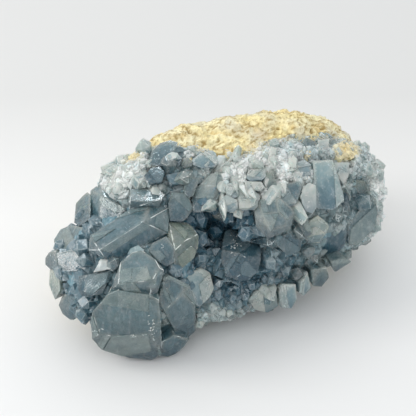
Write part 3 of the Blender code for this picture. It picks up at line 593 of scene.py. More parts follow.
# Painted shade: the floor's colour far behind the object
FLOOR_FAR_SHADE = (0.665, 0.665, 0.655)
FLOOR_BACK = (0.42, 0.91, 0)
FLOOR_FADE = (0.03, 0.11)
FLOOR_HALF = 3.0
SKY_COLOUR = (0.96, 0.98, 1.0)
WINDOW_SIDE = (-0.52, 0.36, 0.78)
SKY_STRENGTH = (0.95, 1.10)
LAMPS = (
    ("key", (-0.62, 0.22, 0.52), (0, 0, 0.02), 0.36, 2.2, (1.0, 0.97, 0.93)),
    ("window", (0.048, 0.46, 0.685), (0, 0, 0.03), 0.15, 1.1, (0.86, 0.95, 1.0)),
)

# Camera: its sensor, what it shows across the front plane and how far its middle lies off
SENSOR = 36.0
VIEW_WIDTH = 138.67
VIEW_SHIFT = 0.67


def apply_modifiers(obj):
    """Replace an object's mesh by the one its modifiers give."""
    bpy.context.view_layer.update()
    evaluated = obj.evaluated_get(bpy.context.evaluated_depsgraph_get())
    mesh = bpy.data.meshes.new_from_object(evaluated)
    obj.modifiers.clear()
    obj.data = mesh


def linked_object(name, mesh):
    obj = bpy.data.objects.new(name, mesh)
    bpy.context.scene.collection.objects.link(obj)
    return obj


def mesh_object(name, bm):
    mesh = bpy.data.meshes.new(name)
    bm.to_mesh(mesh)
    bm.free()
    return linked_object(name, mesh)


def reskin(obj, voxel, smoothing):
    """Give a body one even closed skin."""
    skin = obj.modifiers.new("skin", "REMESH")
    skin.mode = "VOXEL"
    skin.voxel_size = voxel
    flow = obj.modifiers.new("flow", "SMOOTH")
    flow.iterations = smoothing
    apply_modifiers(obj)


def thin_out(obj, triangles):
    """Reduce a skin to about so many triangles."""
    count = sum(len(face.vertices) - 2 for face in obj.data.polygons)
    thin = obj.modifiers.new("thin", "DECIMATE")
    thin.ratio = min(1.0, triangles / count)
    apply_modifiers(obj)


def lump_body(name, lumps, voxel, smoothing):
    """Round lumps flowed together into one closed skin."""
    bm = bmesh.new()
    for centre, half in lumps:
        place = Matrix.Translation(centre) @ Matrix.Diagonal((*half, 1))
        bmesh.ops.create_icosphere(bm, subdivisions=4, radius=1.0, matrix=place)
    obj = mesh_object(name, bm)
    reskin(obj, voxel, smoothing)
    return obj


def subtract(obj, other):
    modifier = obj.modifiers.new("boolean", "BOOLEAN")
    modifier.operation = "DIFFERENCE"
    modifier.solver = "MANIFOLD"
    modifier.object = other
    apply_modifiers(obj)


def discard(*objects):
    for obj in objects:
        bpy.data.objects.remove(obj, do_unlink=True)


def tree_of(mesh):
    bm = bmesh.new()
    bm.from_mesh(mesh)
    tree = BVHTree.FromBMesh(bm)
    bm.free()
    return tree


def front_point(right, up, out):
    """The point at a place on the front plane and a height above it."""
    shrink = (VIEW_DISTANCE - out) / VIEW_DISTANCE
    return PLANE_ORIGIN + (RIGHT * right + UP * up) * shrink + OUT * out


def front_place(point):
    """Where a point shows on the front plane, and its height above it."""
    offset = point - PLANE_ORIGIN
    out = offset.dot(OUT)
    shrink = (VIEW_DISTANCE - out) / VIEW_DISTANCE
    return offset.dot(RIGHT) / shrink, offset.dot(UP) / shrink, out


def seen_at(tree, right, up):
    """What the camera sees of a body at a place on the front plane: the point and its direction."""
    hit, normal, _, _ = tree.ray_cast(EYE, (front_point(right, up, 0) - EYE).normalized())
    return hit, normal


def bed_below(bed_tree, right, up):
    """The bed's height and outward direction under a place on the front plane."""
    hit, normal = seen_at(bed_tree, right, up)
    if hit is None:
        hit, normal, _, _ = bed_tree.find_nearest(front_point(right, up, 0))
    return front_place(hit)[2], normal


def convex(points):
    """The convex solid around a set of points."""
    bm = bmesh.new()
    for point in points:
        bm.verts.new(point)
    hull = bmesh.ops.convex_hull(bm, input=bm.verts[:])
    spare = [item for item in hull["geom_interior"] + hull["geom_unused"]
             if isinstance(item, bmesh.types.BMVert)]
    bmesh.ops.delete(bm, geom=list(dict.fromkeys(spare)), context="VERTS")
    bmesh.ops.recalc_face_normals(bm, faces=bm.faces[:])
    return bm


def large_crystal(bed_tree, proud, corners):
    """Corners of a crystal that grows out of the bed and shows the given corners in front."""
    middle = [sum(corner[axis] for corner in corners) / len(corners) for axis in range(2)]
    height, normal = bed_below(bed_tree, *middle)
    facing = max(normal.dot(OUT), 0.35)
    lean_right = -normal.dot(RIGHT) / facing * BED_FOLLOW
    lean_up = -normal.dot(UP) / facing * BED_FOLLOW
    shown = []
    for right, up, below in corners:
        lean = lean_right * (right - middle[0]) + lean_up * (up - middle[1])
        shown.append(front_point(right, up, height + proud - below + lean))
    centre = sum(shown, Vector()) / len(shown)
    inward = -(normal + OUT).normalized() * (ROOT_DEPTH + proud)
    root = [centre + (corner - centre) * ROOT_TAPER + inward for corner in shown]
    return shown + root, -inward.normalized()


def habit(width, thickness, length, root, tip, slant):
    """Celestite's own shape: a six-sided flat prism with a chisel tip, along +Z."""
    half = width / 2
    side = thickness / 2
    outline = [(half, 0), (half * 0.5, side), (-half * 0.5, side),
               (-half, 0), (-half * 0.5, -side), (half * 0.5, -side)]
    shoulder = length * (1 - tip)
    points = [Vector((x * 0.8, y * 0.8, -root)) for x, y in outline[::2]]
    points += [Vector((x, y, shoulder + slant * x)) for x, y in outline]
    points += [Vector((half * 0.6, 0, length)), Vector((-half * 0.5, 0, length * 0.97))]
    return points


def random_habit(chance, width, length, kind):
    """A crystal of a kind, with its own thickness, length, tip and slant."""
    thicknesses, lengths, root, tips, slant = kind
    return habit(width, width * chance.uniform(*thicknesses), length * chance.uniform(*lengths),
                 width * root, chance.uniform(*tips), chance.uniform(-slant, slant))


def jitter(chance, spread):
    """A small random step."""
    return Vector([chance.gauss(0, spread) for _ in range(3)])


def unit(value):
    """A value kept between 0 and 1."""
    return max(0.0, min(1.0, value))


def clearance(rock_tree, spot):
    """How far a spot stands clear of the rock."""
    near, direction, _, _ = rock_tree.find_nearest(spot)
    return (spot - near).dot(direction)


def small_zone(right, up):
    """Widths and lengths of the small crystals at a place on the front plane."""
    if right < BLOCKY_ENDS[0] or right > BLOCKY_ENDS[1]:
        return BLOCKY_WIDTH, 0.9
    if up > BROW_LOW:
        return SMALL_WIDTH, 1.0
    if up < RIM_HIGH:
        return SMALL_WIDTH, 0.75
    return BLOCKY_WIDTH, 0.8


def inside_ring(right, up, ring, margin):
    """Whether a place lies inside a ring of corners or within a margin of it."""
    inside = False
    for (x1, y1), (x2, y2) in zip(ring, ring[1:] + ring[:1]):
        if (y1 > up) != (y2 > up) and right < (x2 - x1) * (up - y1) / (y2 - y1) + x1:
            inside = not inside
        along = Vector((x2 - x1, y2 - y1))
        reach = Vector((right - x1, up - y1))
        share = min(max(reach.dot(along) / max(along.length_squared, 1e-6), 0), 1)
        if (reach - along * share).length < margin:
            return True
    return inside


def above_rind_line(right, up):
    """Whether a place on the front plane lies above the line where the rind begins."""
    for (x1, y1), (x2, y2) in zip(RIND_LINE, RIND_LINE[1:]):
        if x1 <= right < x2:
            return up > y1 + (y2 - y1) * (right - x1) / (x2 - x1)
    return False


def shown_outlines():
    """Each large crystal's corners as a ring on the front plane, with its ends."""
    rings = []
    for _, corners in LARGE_CRYSTALS.values():
        middle_x = sum(corner[0] for corner in corners) / len(corners)
        middle_y = sum(corner[1] for corner in corners) / len(corners)
        ring = sorted(((x, y) for x, y, _ in corners),
                      key=lambda spot: math.atan2(spot[1] - middle_y, spot[0] - middle_x))
        across, upward = zip(*ring)
        rings.append((ring, (min(across), max(across), min(upward), max(upward))))
    return rings


OUTLINES = shown_outlines()


def covered(right, up, margin):
    """Whether a place lies on or within a margin of a large crystal's outline."""
    for ring, (left_end, right_end, low_end, high_end) in OUTLINES:
        if left_end - margin < right < right_end + margin and low_end - margin < up < high_end + margin:
            if inside_ring(right, up, ring, margin):
                return True
    return False


def bed_spots(bed, rock_tree, chance, clear=ROCK_CLEARANCE):
    """Random places on the bed where it stands clear of the rock, with their outward directions."""
    faces = [(face.normal.copy(), face.area) for face in bed.data.polygons]
    weights = list(np.cumsum([area for _, area in faces]))
    while True:
        index = chance.choices(range(len(faces)), cum_weights=weights)[0]
        polygon = bed.data.polygons[index]
        corners = [bed.data.vertices[i].co for i in polygon.vertices[:3]]
        share = sorted((chance.random(), chance.random()))
        spot = (corners[0] * share[0] + corners[1] * (share[1] - share[0])
                + corners[2] * (1 - share[1]))
        if clearance(rock_tree, spot) > clear:
            yield spot, faces[index][0]


def zone_tone(right, up):
    """Milky, olive and dark (painted shade) shares and the grain width at a place on the front plane."""
    total = DEFAULT_WEIGHT
    tone = np.array(DRUSE_DEFAULT[0]) * total
    width = DRUSE_DEFAULT[1] * total
    for (x, y), (half_x, half_y), shares, grain in DRUSE_ZONES:
        far = ((right - x) / half_x) ** 2 + ((up - y) / half_y) ** 2
        weight = math.exp(-far * ZONE_FALL) * ZONE_WEIGHT
        tone += np.array(shares) * weight
        width += grain * weight
        total += weight
    return tone / total, width / total


def rim_values(points, ridges):
    """How near each point lies to the ridges of its crystal: 1 on a ridge, 0 far inside a facet, for the
    painted light along the ridges.
    """
    if not ridges:
        return np.full(len(points), 0.5)
    nearest = np.full(len(points), 1e9)
    for start, end in ridges:
        start = np.array(start)
        along = np.array(end) - start
        share = np.clip((points - start) @ along / max(along @ along, 1e-9), 0, 1)
        gap = np.linalg.norm(points - start - share[:, None] * along, axis=1)
        nearest = np.minimum(nearest, gap)
    return np.exp(-nearest / RIM_WIDTH)


def facet_value(number, tone, normal):
    """How much painted shade a facet gets, from 0 to 1: a random tone by its number, and painted shade
    by how far it faces away from the lit side.
    """
    first, second, spread = FACET_HASH
    mixed = math.sin(number * first + (tone[0] + 2 * tone[1]) * second) * spread
    # Painted shade: the further a facet faces away from the lit side, the darker it is painted
    turned = 0.5 - 0.5 * normal.dot(LIT_SIDE)
    return FACET_CHANCE * (mixed - math.floor(mixed)) + (1 - FACET_CHANCE) * turned


def ridges_of(bm):
    """The ends of a convex solid's sharp edges."""
    return [(edge.verts[0].co[:], edge.verts[1].co[:]) for edge in bm.edges
            if edge.calc_face_angle(0) > RIDGE_ANGLE]


def clay_share(right, up):
    """How much clay lies on the druse at a place on the front plane."""
    share = 0.0
    for (x, y), (half_x, half_y) in CLAY_PATCHES:
        far = ((right - x) / half_x) ** 2 + ((up - y) / half_y) ** 2
        share = max(share, CLAY_MIDDLE - CLAY_FALL * far)
    return min(1.0, share)


def add_values(mesh, label, domain, values):
    """Give a mesh one named value for each face or point."""
    layer = mesh.attributes.new(label, "FLOAT", domain)
    layer.data.foreach_set("value", values)


def add_tones(mesh, tones):
    """Give each face of a mesh its tones."""
    for index, label in enumerate(TONES):
        add_values(mesh, label, "FACE", np.clip(tones[:, index], 0, 1))


def arrays_of(bm):
    """Points and triangles of a triangulated solid."""
    bm.verts.index_update()
    points = np.array([vertex.co[:] for vertex in bm.verts])
    return points, np.array([[vertex.index for vertex in face.verts] for face in bm.faces])


class Batch:
    """Triangles of many small closed shapes, each face with its tone, for one mesh."""

    def __init__(self):
        self.points = []
        self.faces = []
        self.tones = []
        self.smooth = []
        self.finishes = []
        self.rims = []
        self.facets = []
        self.foot_shades = []
        self.count = 0

    def add(self, points, faces, tones, finish, facets, rims=None, foot_shades=None, smooth=False):
        self.points.append(points)
        self.faces.append(faces + self.count)
        self.tones.append(tones)
        self.smooth.append(np.full(len(faces), smooth))
        self.finishes.append(np.full(len(faces), finish) if np.isscalar(finish) else finish)
        self.facets.append(facets)
        self.rims.append(np.full(len(points), 0.5) if rims is None else rims)
        self.foot_shades.append(np.zeros(len(points)) if foot_shades is None else foot_shades)
        self.count += len(points)

    def add_bmesh(self, bm, tone, worn=0.0, ridges=(), shade_fall=None, smooth=False,
                  worn_and_glinting=False):
        """A shape whose rounded edges are worn white where the wear reaches them."""
        bmesh.ops.triangulate(bm, faces=bm.faces[:])
        points, faces = arrays_of(bm)
        rims = rim_values(points, ridges)
        foot_shades = None
        # Painted shade: darker towards the crystal's foot and lower side
        if shade_fall:
            way, top, reach = shade_fall
            foot_shades = np.clip((top - points @ np.array(way)) / reach, 0, 1) ** FALL_POWER
        layer = bm.faces.layers.int.get("facet")
        bm.normal_update()
        facets = np.array([
            facet_value(face[layer] if layer else 0, tone, face.normal) for face in bm.faces])
        tones = np.tile(np.array(tone, dtype=float), (len(faces), 1))
        # Crystals with much painted shade take the milky finish, as milky ones do
        milky = tone[MILK] > MILKY_LIMIT or tone[DARK] > DARK_LIMIT
        finish = np.full(len(faces), MILKY_FINISH if milky else CLEAR_FINISH)
        if worn_and_glinting:
            finish[:] = WORN_FINISH
        layer = bm.faces.layers.int.get("worn")
        for index, face in enumerate(bm.faces):
            if layer is not None and face[layer]:
                here = noise.noise(face.calc_center_median() / WEAR_GRAIN) + worn
                if here > WEAR_LIMIT:
                    finish[index] = WORN_FINISH
                tones[index, WHITE] += max(0.0, here) * WEAR_WHITE
        self.add(points, faces, tones, finish, facets, rims, foot_shades, smooth)
        bm.free()

    def build(self, name, sharp_angle=None):
        points = np.concatenate(self.points)
        points = np.clip(points, (BOX_LOW[0], BOX_LOW[1], CRUST_LIFT), BOX_HIGH)
        faces = np.concatenate(self.faces)
        tones = np.concatenate(self.tones)
        smooth = np.concatenate(self.smooth)
        mesh = bpy.data.meshes.new(name)
        mesh.vertices.add(len(points))
        mesh.vertices.foreach_set("co", points.ravel())
        mesh.loops.add(len(faces) * 3)
        mesh.loops.foreach_set("vertex_index", faces.ravel())
        mesh.polygons.add(len(faces))
        mesh.polygons.foreach_set("loop_start", np.arange(len(faces)) * 3)
        mesh.polygons.foreach_set("use_smooth", smooth)
        mesh.polygons.foreach_set("material_index", np.concatenate(self.finishes))
        add_tones(mesh, tones)
        add_values(mesh, "facet", "FACE", np.concatenate(self.facets))
        add_values(mesh, "rim", "POINT", np.concatenate(self.rims))
        add_values(mesh, "depth", "POINT", np.concatenate(self.foot_shades))
        mesh.update(calc_edges=True)
        if sharp_angle:
            mesh.set_sharp_from_angle(angle=sharp_angle)
        mesh.transform(PLACE)
        mesh.validate()
        return linked_object(name, mesh)


def chip_corner(bm, chance, depth):
    """Knock a random corner off a convex solid."""
    spots = [vertex.co.copy() for vertex in bm.verts]
    centre = sum(spots, Vector()) / len(spots)
    corner = chance.choice(spots)
    way = ((corner - centre).normalized() + jitter(chance, CHIP_SPREAD)).normalized()
    reach = max((spot - centre).dot(way) for spot in spots)
    cut = centre + way * (reach - depth * chance.uniform(*CHIP_SHARE))
    bmesh.ops.bisect_plane(
        bm, geom=bm.verts[:] + bm.edges[:] + bm.faces[:], plane_co=cut, plane_no=way, clear_outer=True)
    left = [vertex.co.copy() for vertex in bm.verts]
    bm.free()
    return convex(left)


def number_facets(bm):
    """Join the flat parts of a convex solid to facets and number them."""
    bmesh.ops.dissolve_limit(bm, angle_limit=FLAT_ANGLE, verts=bm.verts[:], edges=bm.edges[:])
    layer = bm.faces.layers.int.new("facet")
    for index, face in enumerate(bm.faces):
        face[layer] = index + 1
    return bm


def bevelled(bm, width):
    """Round the edges of a convex solid a little and mark the new faces as worn."""
    layer = bm.faces.layers.int.new("worn")
    edges = [edge for edge in bm.edges if edge.calc_face_angle(0) > RIDGE_ANGLE]
    result = bmesh.ops.bevel(
        bm, geom=edges, offset=width, offset_type="OFFSET", segments=1, profile=0.6,
        affect="EDGES", clamp_overlap=True)
    for face in result["faces"]:
        face[layer] = 1
    return bm


def cut_even(bm, longest):
    """Cut long edges until facets are covered by small triangles."""
    bmesh.ops.triangulate(bm, faces=bm.faces[:])
    for _ in range(4):
        long_edges = [edge for edge in bm.edges if edge.calc_length() > longest]
        if not long_edges:
            break
        bmesh.ops.subdivide_edges(bm, edges=long_edges, cuts=1)
        bmesh.ops.triangulate(bm, faces=bm.faces[:])
    return bm


def wavy(bm, amount, offset):
    """Growth relief: facets that swell and dip a little."""
    long_wave, short_wave = WAVE_LENGTHS
    bm.normal_update()
    moves = []
    for vertex in bm.verts:
        spot = vertex.co + offset
        swell = noise.noise(spot / long_wave) + WAVE_SECOND * noise.noise(spot / short_wave)
        moves.append(vertex.normal * amount * (swell - WAVE_SINK))
    for vertex, move in zip(bm.verts, moves):
        vertex.co += move


def clip_ring(ring, normal, limit):
    """The part of a flat ring of points on the near side of a line."""
    kept = []
    for here, there in zip(ring, ring[1:] + ring[:1]):
        a = here.dot(normal) - limit
        b = there.dot(normal) - limit
        if a <= 0:
            kept.append(here)
        if (a < 0 < b) or (b < 0 < a):
            kept.append(here.lerp(there, a / (a - b)))
    return kept


def growth_plates(bm, axis, chance):
    """Low plates that step up from the large facets along their edges."""
    plates = []
    bm.normal_update()
    for face in bm.faces:
        if face.calc_area() < PLATE_AREA or face.normal.dot(axis) < -0.1:
            continue
        ring = [vertex.co.copy() for vertex in face.verts]
        rise = PLATE_START
        for _ in range(chance.choice(PLATE_COUNTS)):
            start = chance.sample(range(len(ring)), 2)[0]
            edge = (ring[(start + 1) % len(ring)] - ring[start]).normalized()
            side = face.normal.cross(edge) * chance.choice((-1, 1))
            reaches = [corner.dot(side) for corner in ring]
            limit = min(reaches) + (max(reaches) - min(reaches)) * chance.uniform(*PLATE_SHARE)
            ring = clip_ring(ring, side, limit)
            if len(ring) < 3:
                break
            middle = sum(ring, Vector()) / len(ring)
            ring = [middle + (corner - middle) * PLATE_SHRINK for corner in ring]
            rise += chance.uniform(*PLATE_HEIGHT)
            inset = 1 - PLATE_SLOPE * rise / max((corner - middle).length for corner in ring)
            top = [middle + (corner - middle) * inset + face.normal * rise for corner in ring]
            low = [corner - face.normal * PLATE_ROOT for corner in ring]
            plates.append(convex(top + low))
    return plates


def material(name):
    """A material with its node tree, its shader and the place on the object."""
    made = bpy.data.materials.new(name)
    made.use_nodes = True
    tree = made.node_tree
    place = tree.nodes.new("ShaderNodeTexCoord").outputs["Object"]
    return made, tree, tree.nodes["Principled BSDF"], place


def mix_colour(tree, share, first, second, blend="MIX"):
    """A Mix node over two colours, each a value or a socket, by a share socket or value."""
    node = tree.nodes.new("ShaderNodeMix")
    node.data_type = "RGBA"
    node.blend_type = blend
    for socket, value in ((node.inputs[0], share), (node.inputs[6], first), (node.inputs[7], second)):
        if isinstance(value, bpy.types.NodeSocket):
            tree.links.new(value, socket)
        elif isinstance(value, (int, float)):
            socket.default_value = value
        else:
            socket.default_value = (*value, 1)
    return node.outputs[2]


def maths(tree, operation, first, second=0.0, clamp=False):
    node = tree.nodes.new("ShaderNodeMath")
    node.operation = operation
    node.use_clamp = clamp
    for socket, value in zip(node.inputs, (first, second)):
        if isinstance(value, bpy.types.NodeSocket):
            tree.links.new(value, socket)
        else:
            socket.default_value = value
    return node.outputs[0]


def noise_socket(tree, place, scale, detail, roughness, distortion=0.0):
    node = tree.nodes.new("ShaderNodeTexNoise")
    for label, value in (("Scale", scale), ("Detail", detail), ("Roughness", roughness),
                         ("Distortion", distortion)):
        node.inputs[label].default_value = value
    tree.links.new(place, node.inputs["Vector"])
    return node.outputs["Fac"]


def remap(tree, value, low, high, to_low=0.0, to_high=1.0):
    node = tree.nodes.new("ShaderNodeMapRange")
    node.clamp = True
    for index, number in enumerate((low, high, to_low, to_high), start=1):
        node.inputs[index].default_value = number
    tree.links.new(value, node.inputs[0])
    return node.outputs[0]


def attribute(tree, name):
    node = tree.nodes.new("ShaderNodeAttribute")
    node.attribute_name = name
    return node.outputs["Fac"]


def pattern(tree, place, values, full=1.0):
    """A noise that rises from nothing to full between two of its values."""
    *noise_values, start, end = values
    return remap(tree, noise_socket(tree, place, *noise_values), start, end, 0.0, full)


def times(tree, first, second):
    return maths(tree, "MULTIPLY", first, second)


def plus(tree, first, second, clamp=False):
    return maths(tree, "ADD", first, second, clamp)


def add_bump(tree, shader, height, strength, distance):
    bump = tree.nodes.new("ShaderNodeBump")
    bump.inputs["Strength"].default_value = strength
    bump.inputs["Distance"].default_value = distance
    tree.links.new(height, bump.inputs["Height"])
    tree.links.new(bump.outputs["Normal"], shader.inputs["Normal"])


def cloudiness(tree, place, milk):
    """How far the clear crystal is clouded by its veils, with painted light that makes it lighter
    towards its rims.
    """
    veil = pattern(tree, place, VEILS)
    cloud = times(tree, veil, plus(tree, milk, 0.25))
    cloud = plus(tree, cloud, times(tree, milk, 0.45), clamp=True)
    # Painted light: the crystal is painted cloudier and lighter near its ridges
    rim = remap(tree, attribute(tree, "rim"), 0.2, 0.95, 0.0, 0.9)
    return plus(tree, cloud, rim, clamp=True)


def crystal_colour(tree, place, milk, cloud, white, shade_blue):
    """Colour of the crystals: veils, dark cores, painted shade on facets turned from the light, on dark
    places and towards each foot, stains and worn places.
    """
    colour = mix_colour(tree, cloud, CLEAR_BLUE, MILKY)
    core = pattern(tree, place, CORES, 0.6)
    core = times(tree, core, maths(tree, "SUBTRACT", 1.0, cloud, clamp=True))
    colour = mix_colour(tree, core, colour, CORE)
    # Painted shade: facets turned from the lit side are painted darker, less on milky crystals; part of
    # it is a random tone per facet
    shade = remap(tree, maths(tree, "POWER", attribute(tree, "facet"), 1.6), 0.0, 1.0)
    shade = times(tree, shade, remap(tree, milk, 0.3, 1.0, 1.0, MILKY_SHADE))
    colour = mix_colour(tree, shade, colour, SHADED_FACET, "MULTIPLY")
    colour = mix_colour(tree, times(tree, attribute(tree, "olive"), 0.6), colour, OLIVE)
    # Painted shade: the dark tone paints crystals in the hollow and under others navy
    colour = mix_colour(tree, attribute(tree, "dark"), colour, shade_blue)
    # Painted shade towards each crystal's foot and lower side
    colour = mix_colour(tree, times(tree, attribute(tree, "depth"), 0.75), colour, SHADE_BLUE)
    blotch = pattern(tree, place, BLOTCHES)
    colour = mix_colour(tree, times(tree, blotch, 0.75), colour, BLOTCH, "MULTIPLY")
    colour = mix_colour(tree, white, colour, WORN)
    return mix_colour(tree, attribute(tree, "stain"), colour, CLAY)


def celestite_material(name, clearness, roughness, density=0.0, bleeding=0.0, shade_blue=SHADE_BLUE):
    """Clear grey-blue crystal with milky veils, olive tones and worn white edges, painted shade on its
    dark places, facets and foot, and painted light along its ridges.
    """
    made, tree, shader, place = material(name)
    stretch = tree.nodes.new("ShaderNodeMapping")
    stretch.inputs["Rotation"].default_value = STREAK_TURN
    stretch.inputs["Scale"].default_value = STREAK_STRETCH
    tree.links.new(place, stretch.inputs["Vector"])
    streaked = stretch.outputs["Vector"]
    milk = attribute(tree, "milk")
    cloud = cloudiness(tree, place, milk)
    white = plus(tree, attribute(tree, "white"), times(tree, pattern(tree, streaked, STREAKS), 0.4))
    white = plus(tree, white, times(tree, pattern(tree, place, SPECKS), 0.4), clamp=True)
    colour = crystal_colour(tree, place, milk, cloud, white, shade_blue)
    tree.links.new(colour, shader.inputs["Base Color"])
    rough = plus(tree, roughness, times(tree, cloud, 0.10))
    rough = plus(tree, rough, times(tree, white, 0.15), clamp=True)
    tree.links.new(rough, shader.inputs["Roughness"])
    shader.inputs["IOR"].default_value = CELESTITE_IOR
    shader.inputs["Transmission Weight"].default_value = clearness
    shader.inputs["Subsurface Weight"].default_value = bleeding
    shader.inputs["Subsurface Radius"].default_value = BLEEDING_RADIUS
    shader.inputs["Subsurface Scale"].default_value = BLEEDING_DEPTH
    swells = times(tree, noise_socket(tree, place, 260, 3, 0.5), 1.5)
    relief = plus(tree, noise_socket(tree, streaked, 700, 4, 0.6), swells)
    add_bump(tree, shader, relief, 0.35, 0.3 * MM)
    if density:
        inside = tree.nodes.new("ShaderNodeVolumeAbsorption")
        inside.inputs["Color"].default_value = (*ABSORBED, 1)
        inside.inputs["Density"].default_value = density
        tree.links.new(inside.outputs["Volume"], tree.nodes["Material Output"].inputs["Volume"])
    return made


def rind_material():
    """Pale yellow clay over grey rock, with ochre patches and dark pits."""
    made, tree, shader, place = material("rind")
    fine = noise_socket(tree, place, 900, 5, 0.7)
    grain = remap(tree, fine, 0.45, 0.75)
    colour = mix_colour(tree, pattern(tree, place, CLAY_TONES), CLAY_DARK, CLAY_PALE)
    colour = mix_colour(tree, times(tree, pattern(tree, place, OCHRES), 0.6), colour, OCHRE)
    colour = mix_colour(tree, times(tree, grain, 0.75), colour, RIND_GRAIN)
    colour = mix_colour(tree, attribute(tree, "grey"), colour, ROCK_GREY)
    colour = mix_colour(tree, attribute(tree, "pit"), colour, PIT_BROWN)
    tree.links.new(colour, shader.inputs["Base Color"])
    shader.inputs["Roughness"].default_value = 0.9
    shader.inputs["Specular IOR Level"].default_value = 0.25
    add_bump(tree, shader, fine, 0.8, 0.6 * MM)
    return made


def rind_relief(spot):
    """How far the rind stands out at a spot, and how dark and how grey it is there."""
    grained = Vector((spot.x / RIND_STRETCH, spot.y, spot.z))
    lump = noise.fractal(spot / LUMP_SIZE, 0.8, 2.1, 4)
    flake = abs(noise.noise(grained / FLAKE_SIZE))
    crumb = noise.noise(spot / CRUMB_SIZE)
    scale = noise.cell(grained / SCALE_SIZE)
    hole = noise.noise(spot / PIT_SIZE + Vector((9, 4, 2)))
    depth = max(0.0, hole - PIT_LIMIT) * PIT_STEEP
    move = (LUMP_HEIGHT * lump - FLAKE_DEPTH * flake + CRUMB_HEIGHT * crumb
            + SCALE_HEIGHT * scale - PIT_DEPTH * min(depth, 1.4) - RIND_SINK)
    low = 0.4 * lump - 0.8 * crumb - scale
    pit = unit(depth - 0.2) + max(0.0, FLAKE_EDGE - flake) * 7 + 0.35 * low - 0.05
    grey = max(0.0, noise.noise(spot / GREY_SIZE + Vector((3, 8, 1))) * 1.1)
    return move, pit, grey


def build_rind(rock_mesh):
    """The rock's skin, rough and pitted."""
    mesh = rock_mesh.copy()
    mesh.transform(PLACE.inverted())
    rind = linked_object("rind", mesh)
    reskin(rind, RIND_VOXEL, 10)
    mesh = rind.data
    normals = np.empty(len(mesh.vertices) * 3)
    mesh.vertex_normals.foreach_get("vector", normals)
    spots = np.empty(len(mesh.vertices) * 3)
    mesh.vertices.foreach_get("co", spots)
    spots = spots.reshape(-1, 3)
    moves, pits, greys = np.array([rind_relief(Vector(spot)) for spot in spots]).T
    moved = spots + normals.reshape(-1, 3) * moves[:, None]
    moved = np.clip(moved, (BOX_LOW[0], BOX_LOW[1], 0.0), BOX_HIGH)
    mesh.vertices.foreach_set("co", moved.ravel())
    add_values(mesh, "pit", "POINT", np.clip(pits, 0, 1))
    add_values(mesh, "grey", "POINT", np.clip(greys, 0, 1))
    mesh.polygons.foreach_set("use_smooth", np.ones(len(mesh.polygons), dtype=bool))
    mesh.transform(PLACE)
    mesh.update()
    mesh.materials.clear()
    mesh.materials.append(rind_material())
    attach(rind, "root")
    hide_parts("matrix")


def build_large(bed_tree):
    """The large crystals, with chipped corners, worn edges and stepped facets."""
    chance = random.Random(SEED + 1)
    batch = Batch()
    for index, (name, (proud, corners)) in enumerate(LARGE_CRYSTALS.items()):
        points, axis = large_crystal(bed_tree, proud, corners)
        tone = (CRYSTAL_TONES[name] + NO_TONE)[:len(TONES)]
        bm = number_facets(chip_corner(convex(points), chance, CHIP_DEPTH))
        ridges = ridges_of(bm)
        for plate in growth_plates(bm, axis, chance):
            batch.add_bmesh(number_facets(plate), tone)
        wear = WEAR.get(name, WEAR_DEFAULT)
        bm = cut_even(bevelled(bm, EDGE_BEVEL * (chance.uniform(0.7, 1.3) + wear)), FACET_STEP)
        wavy(bm, WAVE, Vector((index * 7.3, 0, 0)))
        # Painted shade grows from the crystal's top towards its foot and lower side
        way = (axis + UP * LARGE_FALL_UP).normalized()
        heights = [point.dot(way) for point in points[:len(corners)]]
        shade_fall = way, max(heights), max(heights) - min(heights)
        batch.add_bmesh(bm, tone, worn=wear, ridges=ridges, shade_fall=shade_fall, smooth=True)
    return batch


def stand(points, spot, axis, spin):
    """A crystal's points, set up along an axis at a spot."""
    upright = axis.to_track_quat("Z", "Y").to_matrix().to_4x4()
    place = Matrix.Translation(spot) @ upright @ Matrix.Rotation(spin, 4, "Z")
    return [place @ point for point in points]


def small_crystal(points, chance, bevel):
    """A small crystal with a chipped corner and rounded edges, and its ridges."""
    bm = number_facets(chip_corner(convex(points), chance, SMALL_CHIP_DEPTH))
    ridges = ridges_of(bm)
    return cut_even(bevelled(bm, bevel), SMALL_STEP), ridges


def build_small(bed, rock_tree):
    """The small crystals of the solids."""
    batch = Batch()
    chance = random.Random(SEED)
    wear = random.Random(SEED + 2)
    taken = []
    spots = bed_spots(bed, rock_tree, chance)
    for _ in range(SMALL_TRIES):
        if len(taken) == SMALL_COUNT:
            break
        spot, normal = next(spots)
        right, up, _ = front_place(spot)
        widths, stretch = small_zone(right, up)
        width = chance.uniform(*widths)
        if normal.dot(OUT) > 0.1 and (above_rind_line(right, up)
                                      or covered(right, up, LARGE_MARGIN)):
            continue
        reach = width * SMALL_SPACING
        if any((spot - other).length < (reach + other_reach) / 2 * SMALL_GAP
               for other, other_reach in taken):
            continue
        taken.append((spot, reach))
        axis = normal + jitter(chance, LEAN)
        points = random_habit(chance, width, width * HABIT_LENGTH * stretch, SMALL_HABIT)
        points = stand(points, spot, axis, chance.uniform(0, math.tau))
        shares, _ = zone_tone(right, up)
        tone = (shares[0] + wear.uniform(-MILK_SPREAD, MILK_SPREAD), shares[1], 0, shares[2], 0)
        bm, ridges = small_crystal(points, wear, SMALL_BEVEL)
        # Painted shade grows from the crystal's top towards its foot and lower side
        way = (axis.normalized() + UP * SMALL_FALL_UP).normalized()
        shade_fall = way, max(vertex.co.dot(way) for vertex in bm.verts), width * SMALL_FALL
        batch.add_bmesh(bm, tone, worn=SMALL_WEAR, ridges=ridges, shade_fall=shade_fall)
    return batch


